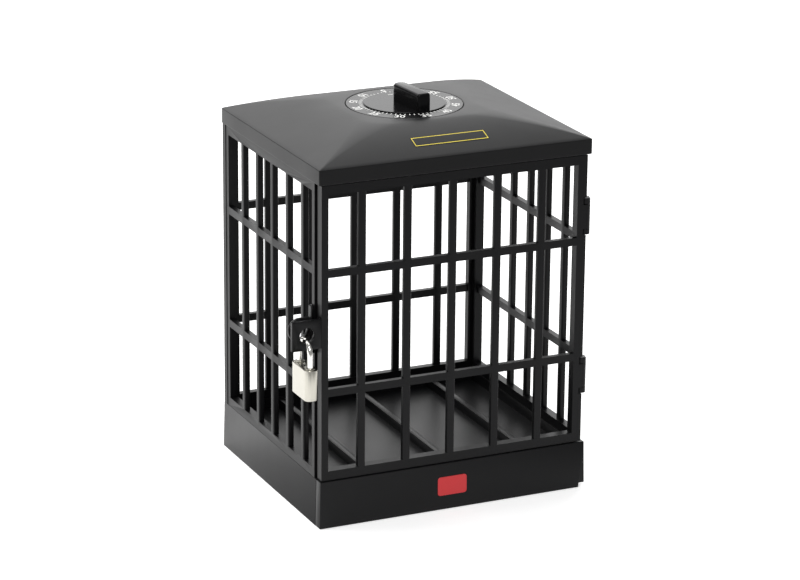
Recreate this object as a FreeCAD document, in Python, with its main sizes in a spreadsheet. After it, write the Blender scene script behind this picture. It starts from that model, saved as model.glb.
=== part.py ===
import FreeCAD, Part
import math
import os
import Sketcher
from FreeCAD import Placement, Rotation, Vector

# Timed lock container: a barred cage on a plinth under a hipped roof, with a wind-up timer in the roof
# and a padlock on the door's ear. Millimetres, +Z up. The origin is the centre of the plinth's
# underside, the door faces -Y and its hinge is at +X.

doc = FreeCAD.newDocument("timed_lock_container")
sheet = doc.addObject("Spreadsheet::Sheet", "Sizes")
sheet.Label = "sizes"

SIZES = [
    # cage
    ("cage_width", 152.0), ("cage_depth", 132.0), ("cage_height", 159.9),
    ("wall_thick", 3.8), ("rail_centre_low", 48.4), ("rail_centre_high", 112.7),
    ("rail_height", 4.2), ("rail_thick", 2.2), ("bar_thick", 2.8),
    ("side_bar_width", 3.8), ("side_bar_pitch", 20.3), ("side_bar_shift", -1.8), ("side_bar_count", 5),
    ("side_bar_thick", 3.2), ("side_out", 0.8), ("back_out", 1.1), ("side_stile_back", 3.8),
    ("wide_bar_width", 4.2), ("wide_bar_pitch", 25.6), ("wide_bar_count", 5),
    ("edge_rail", 5.0), ("side_stile", 5.2), ("back_stile", 7.5), ("rebate_wide", 1.9), ("rebate_deep", 1.6),
    ("tab_length", 8.0), ("tab_thick", 1.4), ("tab_height", 1.5), ("tab_spread", 66.0), ("tab_fit", 0.1),
    # door
    ("door_thick", 5.2), ("door_gap", 0.4), ("door_stile_free", 3.8), ("door_stile_hinge", 7.2),
    ("door_back_gap", 0.3), ("door_edge_gap", 0.8),
    # hinge
    ("knuckle_radius", 2.4), ("hinge_inset", 0.1), ("pin_radius", 1.1), ("pin_fit", 0.06),
    ("knuckle_fixed", 2.8), ("knuckle_door", 13.2), ("knuckle_gap", 0.3), ("hinge_low", 27.5),
    ("hinge_high", 116.0), ("web_wide", 2.1), ("notch_reach", 3.0), ("pin_head_radius", 1.9),
    ("pin_head_height", 0.8),
    # plinth
    ("plinth_lip_x", 1.4), ("plinth_lip_y", 1.5), ("plinth_height", 25.7), ("plinth_draft", 0.5),
    ("strip_thick", 6.2), ("seam", 0.15), ("rim_wide", 5.0), ("plinth_wall", 2.5),
    ("floor_level", 19.7), ("floor_thick", 2.4), ("divider_wide", 3.4), ("divider_height", 5.0),
    ("divider_pitch", 45.0), ("divider_count", 3), ("base_thick", 1.8), ("base_fit", 0.2),
    ("base_boss_radius", 4.0), ("base_boss_x", 60.0), ("base_boss_y", 48.0), ("notch_wide", 3.3),
    ("notch_tall", 2.4), ("strip_wall", 2.4),
    # screws
    ("screw_radius", 1.3), ("screw_fit", 0.1), ("screw_head_radius", 2.6), ("screw_head_height", 1.3),
    ("screw_length", 9.0), ("boss_radius", 3.2),
    # roof
    ("roof_lip_x", 1.5), ("roof_lip_y", 0.5), ("skirt_height", 8.2), ("roof_wall", 2.2),
    ("crown_size", 67.0), ("crown_rise", 10.9), ("roof_swell", 1.32),
    ("ceiling_fit", 0.2), ("ceiling_thick", 2.2), ("roof_boss_x", 59.0), ("roof_boss_y", 47.0),
    # timer dial
    ("dial_radius", 31.0), ("dial_gap", 0.4), ("dial_thick", 1.8), ("hub_radius", 21.8), ("hub_step", 0.6),
    ("fin_front", 21.0), ("fin_back", 3.7), ("fin_width", 8.0), ("fin_height", 9.3), ("fin_round", 1.5),
    ("fin_turn", 5.0), ("fin_corner", 1.6),
    ("spindle_radius", 2.0), ("spindle_fit", 0.05), ("boss_outer", 4.4), ("boss_drop", 1.4),
    # movement
    ("plate_width", 66.0), ("plate_depth", 60.0), ("plate_thick", 1.0), ("pillar_height", 11.0),
    ("pillar_radius", 1.6), ("pillar_inset_x", 4.0), ("pillar_inset_y", 3.5),
    ("arbor_radius", 0.7), ("arbor_fit", 0.06), ("wheel_thick", 1.0), ("pinion_thick", 1.8),
    ("main_module", 0.8), ("main_teeth", 40), ("train_module", 0.6), ("train_teeth", 36),
    ("pinion_teeth", 8), ("main_level", 1.4), ("second_level", 4.0), ("third_level", 6.6),
    ("escape_level", 8.8), ("escape_teeth", 15), ("escape_radius", 5.6), ("third_angle", 90.0),
    ("escape_angle", 20.0), ("spring_inner", 2.8), ("spring_pitch", 1.25), ("spring_thick", 0.3),
    ("spring_height", 4.0), ("spring_turns", 3),
    # bell
    ("bell_radius", 10.5), ("bell_height", 5.0), ("bell_wall", 0.8), ("bell_x", 46.0), ("bell_post_radius", 1.5),
    ("bell_lift", 1.6), ("hammer_radius", 1.6), ("hammer_gap", 0.5), ("hammer_inset", 4.0), ("hammer_y", 17.0),
    # hasp, keeper and padlock
    ("ear_length", 16.2), ("ear_height", 15.6), ("ear_thick", 2.4), ("ear_centre", 106.9),
    ("eye_radius", 4.1), ("eye_reach", 7.9), ("keeper_radius", 6.4), ("keeper_thick", 2.4),
    ("foot_lead", 1.6), ("foot_thick", 1.6),
    ("shackle_radius", 1.4), ("shackle_span", 13.6), ("shackle_gap", 0.35), ("shackle_rest", 0.15),
    ("shackle_aside", 1.0), ("shackle_forward", 0.5),
    ("leg_length", 6.9), ("toe_depth", 4.5), ("heel_depth", 12.0), ("leg_fit", 0.06),
    ("lock_wide", 20.6), ("lock_thick", 7.2), ("lock_high", 16.4), ("lock_round", 2.9),
    ("collar_radius", 2.4), ("collar_height", 0.6), ("plug_radius", 2.9), ("plug_length", 8.0),
    ("plug_fit", 0.06), ("keyway_wide", 1.0), ("keyway_deep", 6.0),
]
for row, (alias, value) in enumerate(SIZES, start=1):
    sheet.set("A%d" % row, alias)
    sheet.set("B%d" % row, repr(value))
    sheet.setAlias("B%d" % row, alias)
doc.recompute()


def size(alias):
    return float(sheet.get(alias))


def expand(text):
    """Turn bare size names in an expression into references to the sheet."""
    out, word = "", ""
    for ch in text + " ":
        if ch.isalnum() or ch == "_":
            word += ch
        else:
            out += expand(DERIVED[word]) if word in DERIVED else "Sizes." + word if word in NAMES else word
            out, word = out + ch, ""
    return out.strip()


def value(text):
    """The number that an expression in size names has now."""
    return float(sheet.evalExpression(expand(text)))


NAMES = {alias for alias, _ in SIZES}
DERIVED = {
    "plinth_width": "(cage_width + plinth_lip_x*2)", "plinth_depth": "(cage_depth + plinth_lip_y*2)",
    "roof_width": "(cage_width + roof_lip_x*2)", "roof_depth": "(cage_depth + roof_lip_y*2)",
    "pillar_x": "(plate_width/2 - pillar_inset_x)", "pillar_y": "(plate_depth/2 - pillar_inset_y)",
    "hammer_x": "(plate_width/2 - hammer_inset)",
}
nodes = {}

# Heights and places that several pieces share, written in size names
CAGE_TOP = "plinth_height + cage_height"
SKIRT_TOP = CAGE_TOP + " + skirt_height"
CROWN = SKIRT_TOP + " + crown_rise"
FRONT = "0 - cage_depth/2"
DOOR_BACK = FRONT + " + door_thick"
SIDE_FRONT = DOOR_BACK + " + door_back_gap"
SIDE_BACK = "cage_depth/2 - wall_thick"
SIDE_X = "(cage_width/2 + side_out)"
HINGE_X = "cage_width/2 - hinge_inset"
HINGE_Y = FRONT + " + knuckle_radius"
EYE_X = "0 - cage_width/2 - eye_reach"
SHACKLE_X = EYE_X + " - shackle_aside"
LOCK_Y = FRONT + " + ear_thick/2 - shackle_forward"
HEEL_Y = LOCK_Y + " + shackle_span/2"
TOE_Y = LOCK_Y + " - shackle_span/2"


def new_body(name):
    body = doc.addObject("PartDesign::Body", name)
    body.Label = name
    nodes[name] = body
    return body


def sketch_on(body, name, plane, offset="0"):
    sk = body.newObject("Sketcher::SketchObject", name)
    sk.AttachmentSupport = (next(f for f in body.Origin.OriginFeatures if f.Role == plane), [""])
    sk.MapMode = "FlatFace"
    sk.setExpression(".AttachmentOffset.Base.z", expand(offset))
    return sk


def fix_point(sk, geo, pos, x, y):
    """Hold a point of the sketch at x, y, each an expression in size names."""
    for kind, text in (("DistanceX", x), ("DistanceY", y)):
        index = sk.addConstraint(Sketcher.Constraint(kind, geo, pos, value(text)))
        sk.setExpression("Constraints[%d]" % index, expand(text))


def rectangle(sk, left, low, right, high):
    """Closed rectangle with two opposite corners held by expressions."""
    x0, y0, x1, y1 = value(left), value(low), value(right), value(high)
    corners = [Vector(x0, y0, 0), Vector(x1, y0, 0), Vector(x1, y1, 0), Vector(x0, y1, 0)]
    ids = [sk.addGeometry(Part.LineSegment(corners[i], corners[(i + 1) % 4]), False) for i in range(4)]
    for i in range(4):
        sk.addConstraint(Sketcher.Constraint("Coincident", ids[i], 2, ids[(i + 1) % 4], 1))
    for i, kind in ((0, "Horizontal"), (2, "Horizontal"), (1, "Vertical"), (3, "Vertical")):
        sk.addConstraint(Sketcher.Constraint(kind, ids[i]))
    fix_point(sk, ids[0], 1, left, low)
    fix_point(sk, ids[1], 2, right, high)
    return ids


def outline(sk, points):
    """Closed polygon, every corner held by expressions."""
    spots = [Vector(value(x), value(y), 0) for x, y in points]
    ids = [sk.addGeometry(Part.LineSegment(spots[i], spots[(i + 1) % len(spots)]), False)
           for i in range(len(spots))]
    for i, (x, y) in enumerate(points):
        sk.addConstraint(Sketcher.Constraint("Coincident", ids[i - 1], 2, ids[i], 1))
        fix_point(sk, ids[i], 1, x, y)
    return ids


def circle(sk, x, y, radius):
    geo = sk.addGeometry(Part.Circle(Vector(value(x), value(y), 0), Vector(0, 0, 1), value(radius)), False)
    fix_point(sk, geo, 3, x, y)
    index = sk.addConstraint(Sketcher.Constraint("Radius", geo, value(radius)))
    sk.setExpression("Constraints[%d]" % index, expand(radius))
    return geo


def pad(body, sk, length, back=False, name=None):
    feature = body.newObject("PartDesign::Pad", name or sk.Name + "_pad")
    feature.Profile = sk
    feature.setExpression("Length", expand(length))
    feature.Reversed = back
    body.Tip = feature
    doc.recompute()
    return feature


def pocket(body, sk, length, back=False, name=None):
    """Cut along the sketch's normal, or against it with back; the volume has to drop."""
    before = body.Shape.Volume
    feature = body.newObject("PartDesign::Pocket", name or sk.Name + "_cut")
    feature.Profile = sk
    feature.setExpression("Length", expand(length))
    feature.Reversed = not back
    body.Tip = feature
    doc.recompute()
    if not body.Shape.Volume < before - 1e-6:
        raise RuntimeError("%s cuts nothing" % feature.Name)
    return feature


def row_of(body, feature, axis, length, count, name):
    """Linear pattern of a feature along a sketch axis."""
    pattern = body.newObject("PartDesign::LinearPattern", name)
    pattern.Originals = [feature]
    pattern.Direction = (feature.Profile[0], [axis])
    pattern.setExpression("Length", expand(length))
    pattern.setExpression("Occurrences", expand(count))
    body.Tip = pattern
    doc.recompute()
    return pattern


def ring_of(body, feature, count, name):
    """Polar pattern of a feature about the normal of its sketch."""
    pattern = body.newObject("PartDesign::PolarPattern", name)
    pattern.Originals = [feature]
    pattern.Axis = (feature.Profile[0], ["N_Axis"])
    pattern.Angle = 360
    pattern.setExpression("Occurrences", expand(count))
    body.Tip = pattern
    doc.recompute()
    return pattern


def grille(name, plane, face, inward_back, left, right, low, high, stiles, bars, thick, deep="bar_thick"):
    """Moulded grille: a frame, upright bars and two cross rails that are set back behind the bars.

    face is the expression of the outer face along the plane's normal, and inward_back says whether
    the body grows against that normal. stiles and bars hold the widths, pitch, shift and count, and
    deep is how thick the bars are.
    """
    body = new_body(name)
    frame = sketch_on(body, name + "_frame", plane, face)
    rectangle(frame, left, low, right, high)
    rectangle(frame, left + " + " + stiles[0], low + " + edge_rail", right + " - " + stiles[1],
              high + " - edge_rail")
    pad(body, frame, thick, inward_back)
    width, pitch, centre, count = bars
    one = sketch_on(body, name + "_bar", plane, face)
    first = "%s - %s*%s/2 + %s/2" % (centre, pitch, count, pitch)
    rectangle(one, first + " - %s/2" % width, low + " + edge_rail/2", first + " + %s/2" % width,
              high + " - edge_rail/2")
    bar = pad(body, one, deep, inward_back)
    row_of(body, bar, "H_Axis", "%s*%s - %s" % (pitch, count, pitch), count, name + "_bars")
    rails = sketch_on(body, name + "_rails", plane,
                      face + (" - " if inward_back else " + ") + "(%s - rail_thick)" % deep)
    for level in ("rail_centre_low", "rail_centre_high"):
        middle = "plinth_height + " + level
        rectangle(rails, left + " + %s/2" % stiles[0], middle + " - rail_height/2",
                  right + " - %s/2" % stiles[1], middle + " + rail_height/2")
    pad(body, rails, "rail_thick", inward_back)
    return body


# --- side and back grilles -------------------------------------------------------------------------
# Sketch axes on YZ_Plane: x runs along Y, y along Z, and the normal is +X. On XZ_Plane x runs along X,
# y along Z and the normal is -Y.
for name, side in (("left_grille", -1), ("right_grille", 1)):
    outer = SIDE_X if side > 0 else "0 - " + SIDE_X
    panel = grille(name, "YZ_Plane", outer, side > 0,
                   SIDE_FRONT, SIDE_BACK, "plinth_height", CAGE_TOP, ("side_stile", "side_stile_back"),
                   ("side_bar_width", "side_bar_pitch", "side_bar_shift", "side_bar_count"),
                   "wall_thick + side_out", "side_bar_thick")
    rebate = sketch_on(panel, name + "_rebate", "YZ_Plane", outer)
    rectangle(rebate, SIDE_FRONT + " - 1", "plinth_height - 1", SIDE_FRONT + " + rebate_wide", CAGE_TOP + " + 1")
    pocket(panel, rebate, "rebate_deep", side > 0)
    inner = "%scage_width/2 %s wall_thick" % (("0 - ", "+") if side < 0 else ("", "-"))
    tabs = sketch_on(panel, name + "_tabs", "YZ_Plane", inner)
    for spot in ("0 - tab_spread/2", "tab_spread/2"):
        for low, high in (("plinth_height - tab_height", "plinth_height + 1"),
                          (CAGE_TOP + " - 1", CAGE_TOP + " + tab_height")):
            rectangle(tabs, spot + " - tab_length/2", low, spot + " + tab_length/2", high)
    pad(panel, tabs, "tab_thick", side < 0)

back = grille("back_grille", "XZ_Plane", "0 - cage_depth/2", False, "0 - cage_width/2 - back_out",
              "cage_width/2 + back_out",
              "plinth_height", CAGE_TOP, ("back_stile", "back_stile"),
              ("wide_bar_width", "wide_bar_pitch", "0", "wide_bar_count"), "wall_thick")
tabs = sketch_on(back, "back_grille_tabs", "XZ_Plane", "0 - cage_depth/2 + wall_thick")
for spot in ("0 - tab_spread/2", "tab_spread/2"):
    for low, high in (("plinth_height - tab_height", "plinth_height + 1"),
                      (CAGE_TOP + " - 1", CAGE_TOP + " + tab_height")):
        rectangle(tabs, spot + " - tab_length/2", low, spot + " + tab_length/2", high)
pad(back, tabs, "tab_thick", True)

# --- hinge: fixed knuckles on the right grille, door knuckles between them -----------------------------
right = nodes["right_grille"]
for which in ("hinge_low", "hinge_high"):
    for part_of, start in (("under", "plinth_height + " + which),
                           ("over", "plinth_height + " + which + " + knuckle_fixed + knuckle_door"
                                    " + knuckle_gap + knuckle_gap")):
        web = sketch_on(right, "%s_%s_web" % (which, part_of), "XY_Plane", start)
        rectangle(web, HINGE_X + " - web_wide", HINGE_Y, HINGE_X + " + hinge_inset", SIDE_FRONT + " + rebate_wide + 1")
        pad(right, web, "knuckle_fixed")
        barrel = sketch_on(right, "%s_%s_barrel" % (which, part_of), "XY_Plane", start)
        circle(barrel, HINGE_X, HINGE_Y, "knuckle_radius")
        pad(right, barrel, "knuckle_fixed")
bore = sketch_on(right, "fixed_knuckle_bore", "XY_Plane")
circle(bore, HINGE_X, HINGE_Y, "pin_radius + pin_fit")
pocket(right, bore, CAGE_TOP)

# --- door ----------------------------------------------------------------------------------------------
door = grille("door_grille", "XZ_Plane", "cage_depth/2", True, "0 - cage_width/2",
              "cage_width/2 - door_edge_gap", "plinth_height + door_gap", CAGE_TOP + " - door_gap",
              ("door_stile_free", "door_stile_hinge"),
              ("wide_bar_width", "wide_bar_pitch",
               "door_stile_free/2 - door_stile_hinge/2 - door_edge_gap/2", "wide_bar_count"), "door_thick")
for which in ("hinge_low", "hinge_high"):
    notches = sketch_on(door, which + "_notches", "XZ_Plane", "cage_depth/2 + 1")
    for start, more in (("plinth_height + " + which + " - knuckle_gap", ""),
                        ("plinth_height + " + which + " + knuckle_fixed + knuckle_door + knuckle_gap",
                         " + pin_head_height")):
        rectangle(notches, HINGE_X + " - notch_reach", start, "cage_width/2 + 1",
                  start + " + knuckle_fixed + knuckle_gap + knuckle_gap" + more)
    pocket(door, notches, "door_thick + 2", True)
    barrel = sketch_on(door, which + "_door_barrel", "XY_Plane",
                       "plinth_height + " + which + " + knuckle_fixed + knuckle_gap")
    circle(barrel, HINGE_X, HINGE_Y, "knuckle_radius")
    pad(door, barrel, "knuckle_door")
    bore = sketch_on(door, which + "_door_bore", "XY_Plane",
                     "plinth_height + " + which + " + knuckle_fixed")
    circle(bore, HINGE_X, HINGE_Y, "pin_radius + pin_fit")
    pocket(door, bore, "knuckle_door + knuckle_gap + knuckle_gap")


def primitive(kind, name, spot, **sizes):
    """Part primitive whose sizes and place are bound to the sheet."""
    shape = doc.addObject(kind, name)
    for prop, text in sizes.items():
        shape.setExpression(prop, expand(text))
    for axis, text in zip("xyz", spot):
        shape.setExpression(".Placement.Base." + axis, expand(text))
    return shape


def joined(name, parts):
    fuse = doc.addObject("Part::MultiFuse", name)
    fuse.Shapes = parts
    return fuse


def cut(name, base, tool):
    result = doc.addObject("Part::Cut", name)
    result.Base = base
    result.Tool = tool
    return result


def group(name, parts):
    """Node made of separate solids."""
    compound = doc.addObject("Part::Compound", name)
    compound.Links = parts
    compound.Label = name
    nodes[name] = compound
    return compound


def upright_edges(shape):
    """Names of the shape's straight edges that run along Z."""
    names = []
    for i, edge in enumerate(shape.Edges, start=1):
        if edge.Curve.TypeId == "Part::GeomLine" and abs(edge.tangentAt(edge.FirstParameter).z) > 0.999:
            names.append("Edge%d" % i)
    return names


def fillet(body, edges, radius, name):
    base = body.Tip
    feature = body.newObject("PartDesign::Fillet", name)
    feature.Base = (base, edges)
    feature.setExpression("Radius", expand(radius))
    body.Tip = feature
    doc.recompute()
    return feature


def loft(body, name, sections, kind="PartDesign::AdditiveLoft", ruled=False):
    """Loft through rectangles on the XY plane; each section is (left, low, right, high, level)."""
    sketches = []
    for i, (left, low, right, high, level) in enumerate(sections):
        sk = sketch_on(body, "%s_section_%d" % (name, i), "XY_Plane", level)
        rectangle(sk, left, low, right, high)
        sketches.append(sk)
    doc.recompute()
    feature = body.newObject(kind, name)
    feature.Profile = sketches[0]
    feature.Sections = sketches[1:]
    feature.Ruled = ruled
    body.Tip = feature
    doc.recompute()
    return feature


pins = []
for which in ("hinge_low", "hinge_high"):
    start = "plinth_height + " + which
    whole = "knuckle_fixed*2 + knuckle_door + knuckle_gap*2"
    shank = primitive("Part::Cylinder", which + "_shank", (HINGE_X, HINGE_Y, start),
                      Radius="pin_radius", Height=whole + " + pin_head_height/2")
    head = primitive("Part::Cylinder", which + "_head", (HINGE_X, HINGE_Y, start + " + " + whole),
                     Radius="pin_head_radius", Height="pin_head_height")
    pins.append(joined(which + "_pin", [shank, head]))
group("hinge_pins", pins)

# --- plinth --------------------------------------------------------------------------------------------
STRIP_BACK = "0 - plinth_depth/2 + strip_thick"
TRAY_FRONT = STRIP_BACK + " + seam"
RIM_X = "plinth_width/2 - plinth_draft - rim_wide"
RIM_BACK = "plinth_depth/2 - plinth_draft - rim_wide"
RIM_FRONT = TRAY_FRONT + " + plinth_wall"
HOLLOW_TOP = "floor_level - floor_thick"

tray = new_body("plinth_tray")
loft(tray, "tray_outside", [
    ("0 - plinth_width/2", TRAY_FRONT, "plinth_width/2", "plinth_depth/2", "0"),
    ("plinth_draft - plinth_width/2", TRAY_FRONT, "plinth_width/2 - plinth_draft",
     "plinth_depth/2 - plinth_draft", "plinth_height")], ruled=True)
recess = sketch_on(tray, "tray_recess", "XY_Plane", "plinth_height")
rectangle(recess, "0 - (" + RIM_X + ")", RIM_FRONT, RIM_X, RIM_BACK)
pocket(tray, recess, "plinth_height - floor_level", True)
divider = sketch_on(tray, "tray_divider", "XY_Plane", "floor_level")
first = "0 - divider_pitch*divider_count/2 + divider_pitch/2"
rectangle(divider, first + " - divider_wide/2", RIM_FRONT + " - 0.5", first + " + divider_wide/2",
          RIM_BACK + " + 0.5")
row_of(tray, pad(tray, divider, "divider_height"), "H_Axis", "divider_pitch*divider_count - divider_pitch",
       "divider_count", "tray_dividers")
hollow = sketch_on(tray, "tray_hollow", "XY_Plane")
rectangle(hollow, "plinth_wall - plinth_width/2", TRAY_FRONT + " + plinth_wall", "plinth_width/2 - plinth_wall",
          "plinth_depth/2 - plinth_wall")
pocket(tray, hollow, HOLLOW_TOP)
posts = sketch_on(tray, "tray_posts", "XY_Plane", "base_thick")
for sx in ("0 - ", ""):
    for sy in ("0 - ", ""):
        circle(posts, sx + "base_boss_x", sy + "base_boss_y", "base_boss_radius")
pad(tray, posts, HOLLOW_TOP + " - base_thick + 0.5")
pilots = sketch_on(tray, "tray_pilots", "XY_Plane", "base_thick")
for sx in ("0 - ", ""):
    for sy in ("0 - ", ""):
        circle(pilots, sx + "base_boss_x", sy + "base_boss_y", "screw_radius + screw_fit")
pocket(tray, pilots, "screw_length + 0.5")


def sockets(body, name, level, depth, upward):
    """Slots that take the tabs of the three fixed grilles."""
    slots = sketch_on(body, name, "XY_Plane", level)
    inner = "cage_width/2 - wall_thick - tab_fit"
    outer = "cage_width/2 - wall_thick + tab_thick + tab_fit"
    for spot in ("0 - tab_spread/2", "tab_spread/2"):
        ends = (spot + " - tab_length/2 - tab_fit", spot + " + tab_length/2 + tab_fit")
        rectangle(slots, inner, ends[0], outer, ends[1])
        rectangle(slots, "0 - (" + outer + ")", ends[0], "0 - (" + inner + ")", ends[1])
        rectangle(slots, ends[0], inner.replace("width", "depth"), ends[1], outer.replace("width", "depth"))
    pocket(body, slots, depth, not upward)


sockets(tray, "tray_sockets", "plinth_height", "tab_height + tab_fit", False)

strip = new_body("plinth_front")
loft(strip, "front_outside", [
    ("0 - plinth_width/2", "0 - plinth_depth/2", "plinth_width/2", STRIP_BACK, "0"),
    ("plinth_draft - plinth_width/2", "plinth_draft - plinth_depth/2", "plinth_width/2 - plinth_draft",
     STRIP_BACK, "plinth_height")], ruled=True)
core = sketch_on(strip, "front_core", "XZ_Plane", "0 - (" + STRIP_BACK + ")")
rectangle(core, "strip_wall*2 - plinth_width/2", "strip_wall", "plinth_width/2 - strip_wall*2 - notch_wide",
          "plinth_height - strip_wall")
pocket(strip, core, "strip_thick - strip_wall - plinth_draft")
nick = sketch_on(strip, "front_nick", "XZ_Plane", "plinth_depth/2 + 1")
rectangle(nick, "plinth_width/2 - notch_wide", "0 - 1", "plinth_width/2 + 1", "notch_tall")
pocket(strip, nick, "strip_thick + 2", True)

plate = new_body("base_plate")
outline_sk = sketch_on(plate, "base_outline", "XY_Plane")
inset = "plinth_wall + base_fit"
rectangle(outline_sk, inset + " - plinth_width/2", TRAY_FRONT + " + " + inset,
          "plinth_width/2 - " + inset.replace("+", "-"), "plinth_depth/2 - " + inset.replace("+", "-"))
for sx in ("0 - ", ""):
    for sy in ("0 - ", ""):
        circle(outline_sk, sx + "base_boss_x", sy + "base_boss_y", "screw_radius + screw_fit")
pad(plate, outline_sk, "base_thick")
heads = sketch_on(plate, "base_head_recess", "XY_Plane")
for sx in ("0 - ", ""):
    for sy in ("0 - ", ""):
        circle(heads, sx + "base_boss_x", sy + "base_boss_y", "screw_head_radius + screw_fit")
pocket(plate, heads, "screw_head_height")


def screws(name, x, y, level):
    """Four pan-head screws that point up, with their heads' undersides seated at level."""
    made = []
    for i, (sx, sy) in enumerate((("0 - ", "0 - "), ("", "0 - "), ("0 - ", ""), ("", ""))):
        spot = (sx + x, sy + y)
        head = primitive("Part::Cylinder", "%s_head_%d" % (name, i), spot + (level + " - screw_head_height",),
                         Radius="screw_head_radius", Height="screw_head_height")
        shank = primitive("Part::Cylinder", "%s_shank_%d" % (name, i), spot + (level + " - screw_head_height/2",),
                          Radius="screw_radius", Height="screw_length")
        made.append(joined("%s_%d" % (name, i), [head, shank]))
    return group(name, made)


screws("base_screws", "base_boss_x", "base_boss_y", "screw_head_height")

# --- roof ----------------------------------------------------------------------------------------------
def hip_sections(inset, drop):
    """Rectangles of the hipped roof from the eaves to the flat crown, on a slope that eases off."""
    out = []
    for t in (0, 0.25, 0.5, 0.75, 0.9, 1):
        x, y = ["(roof_%s/2*%g + crown_size/2*%g - %s)" % (word, 1 - t, t, inset) for word in ("width", "depth")]
        level = "%s + crown_rise*(1 - %g^roof_swell) - %s" % (SKIRT_TOP, 1 - t, drop)
        out.append(("0 - " + x, "0 - " + y, x, y, level))
    return out


roof = new_body("roof_shell")
skirt = sketch_on(roof, "roof_skirt", "XY_Plane", CAGE_TOP)
rectangle(skirt, "0 - roof_width/2", "0 - roof_depth/2", "roof_width/2", "roof_depth/2")
pad(roof, skirt, "skirt_height")
loft(roof, "roof_outside", hip_sections("0", "0"), ruled=True)
well = sketch_on(roof, "roof_well", "XY_Plane", CAGE_TOP)
rectangle(well, "roof_wall - roof_width/2", "roof_wall - roof_depth/2", "roof_width/2 - roof_wall",
          "roof_depth/2 - roof_wall")
pocket(roof, well, "skirt_height - roof_wall")
loft(roof, "roof_inside", hip_sections("roof_wall", "roof_wall"), "PartDesign::SubtractiveLoft", True)
opening = sketch_on(roof, "dial_opening", "XY_Plane", CROWN)
circle(opening, "0", "0", "dial_radius + dial_gap")
pocket(roof, opening, "roof_wall*2", True)
corners = sketch_on(roof, "roof_posts", "XY_Plane", CAGE_TOP + " + ceiling_thick")
for sx in ("0 - ", ""):
    for sy in ("0 - ", ""):
        circle(corners, sx + "roof_boss_x", sy + "roof_boss_y", "boss_radius")
pad(roof, corners, "screw_length + roof_wall/2")
holes = sketch_on(roof, "roof_pilots", "XY_Plane", CAGE_TOP + " + ceiling_thick")
for sx in ("0 - ", ""):
    for sy in ("0 - ", ""):
        circle(holes, sx + "roof_boss_x", sy + "roof_boss_y", "screw_radius + screw_fit")
pocket(roof, holes, "screw_length - screw_head_height/2 - ceiling_thick + screw_head_height + 0.3")

ceiling = new_body("roof_ceiling")
edge = "roof_wall + ceiling_fit"
lid = sketch_on(ceiling, "ceiling_outline", "XY_Plane", CAGE_TOP)
rectangle(lid, edge + " - roof_width/2", edge + " - roof_depth/2", "roof_width/2 - roof_wall - ceiling_fit",
          "roof_depth/2 - roof_wall - ceiling_fit")
for sx in ("0 - ", ""):
    for sy in ("0 - ", ""):
        circle(lid, sx + "roof_boss_x", sy + "roof_boss_y", "screw_radius + screw_fit")
pad(ceiling, lid, "ceiling_thick")
heads = sketch_on(ceiling, "ceiling_head_recess", "XY_Plane", CAGE_TOP)
for sx in ("0 - ", ""):
    for sy in ("0 - ", ""):
        circle(heads, sx + "roof_boss_x", sy + "roof_boss_y", "screw_head_radius + screw_fit")
pocket(ceiling, heads, "screw_head_height")
sockets(ceiling, "ceiling_sockets", CAGE_TOP, "tab_height + tab_fit", True)
screws("roof_screws", "roof_boss_x", "roof_boss_y", CAGE_TOP + " + screw_head_height")

# --- hasp ear on the door, keeper eye on the left grille ------------------------------------------------
ear = new_body("door_hasp")
blade = sketch_on(ear, "ear_outline", "XZ_Plane", "cage_depth/2")
rectangle(blade, "0 - cage_width/2 - ear_length", "ear_centre - ear_height/2", "0 - cage_width/2",
          "ear_centre + ear_height/2")
circle(blade, EYE_X, "ear_centre", "eye_radius")
pad(ear, blade, "ear_thick", True)

KEEPER_FRONT = HEEL_Y + " + shackle_radius + shackle_gap"
keeper = new_body("lock_keeper")
arm = sketch_on(keeper, "keeper_arm", "XZ_Plane", "0 - (" + KEEPER_FRONT + ")")
rectangle(arm, EYE_X, "ear_centre - keeper_radius", "0 - " + SIDE_X, "ear_centre + keeper_radius")
pad(keeper, arm, "keeper_thick", True)
foot = sketch_on(keeper, "keeper_foot", "XZ_Plane", "foot_lead - (" + KEEPER_FRONT + ")")
rectangle(foot, "0 - foot_thick - " + SIDE_X, "ear_centre - keeper_radius*2", "0 - " + SIDE_X,
          "ear_centre + keeper_radius*2")
pad(keeper, foot, "foot_lead + keeper_thick", True)
end = sketch_on(keeper, "keeper_end", "XZ_Plane", "0 - (" + KEEPER_FRONT + ")")
circle(end, EYE_X, "ear_centre", "keeper_radius")
pad(keeper, end, "keeper_thick", True)
eye = sketch_on(keeper, "keeper_eye", "XZ_Plane", "0 - (" + KEEPER_FRONT + ")")
circle(eye, EYE_X, "ear_centre", "eye_radius")
pocket(keeper, eye, "keeper_thick", True)

# --- padlock -------------------------------------------------------------------------------------------
# The bow rests in the lower half of the ear's eye, a little to one side of its lowest point.
BOW_Z = ("ear_centre - sqrt((eye_radius - shackle_radius - shackle_rest)^2 - shackle_aside^2)"
         " - sqrt((shackle_span/2)^2 - (ear_thick/2 + shackle_forward)^2)")
LOCK_TOP = BOW_Z + " - leg_length"
LOCK_LOW = LOCK_TOP + " - lock_high"

def leg(name, y, depth):
    section = sketch_on(shackle, name, "XY_Plane", LOCK_TOP + " - " + depth)
    circle(section, SHACKLE_X, y, "shackle_radius")
    pad(shackle, section, "leg_length + " + depth)


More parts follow.
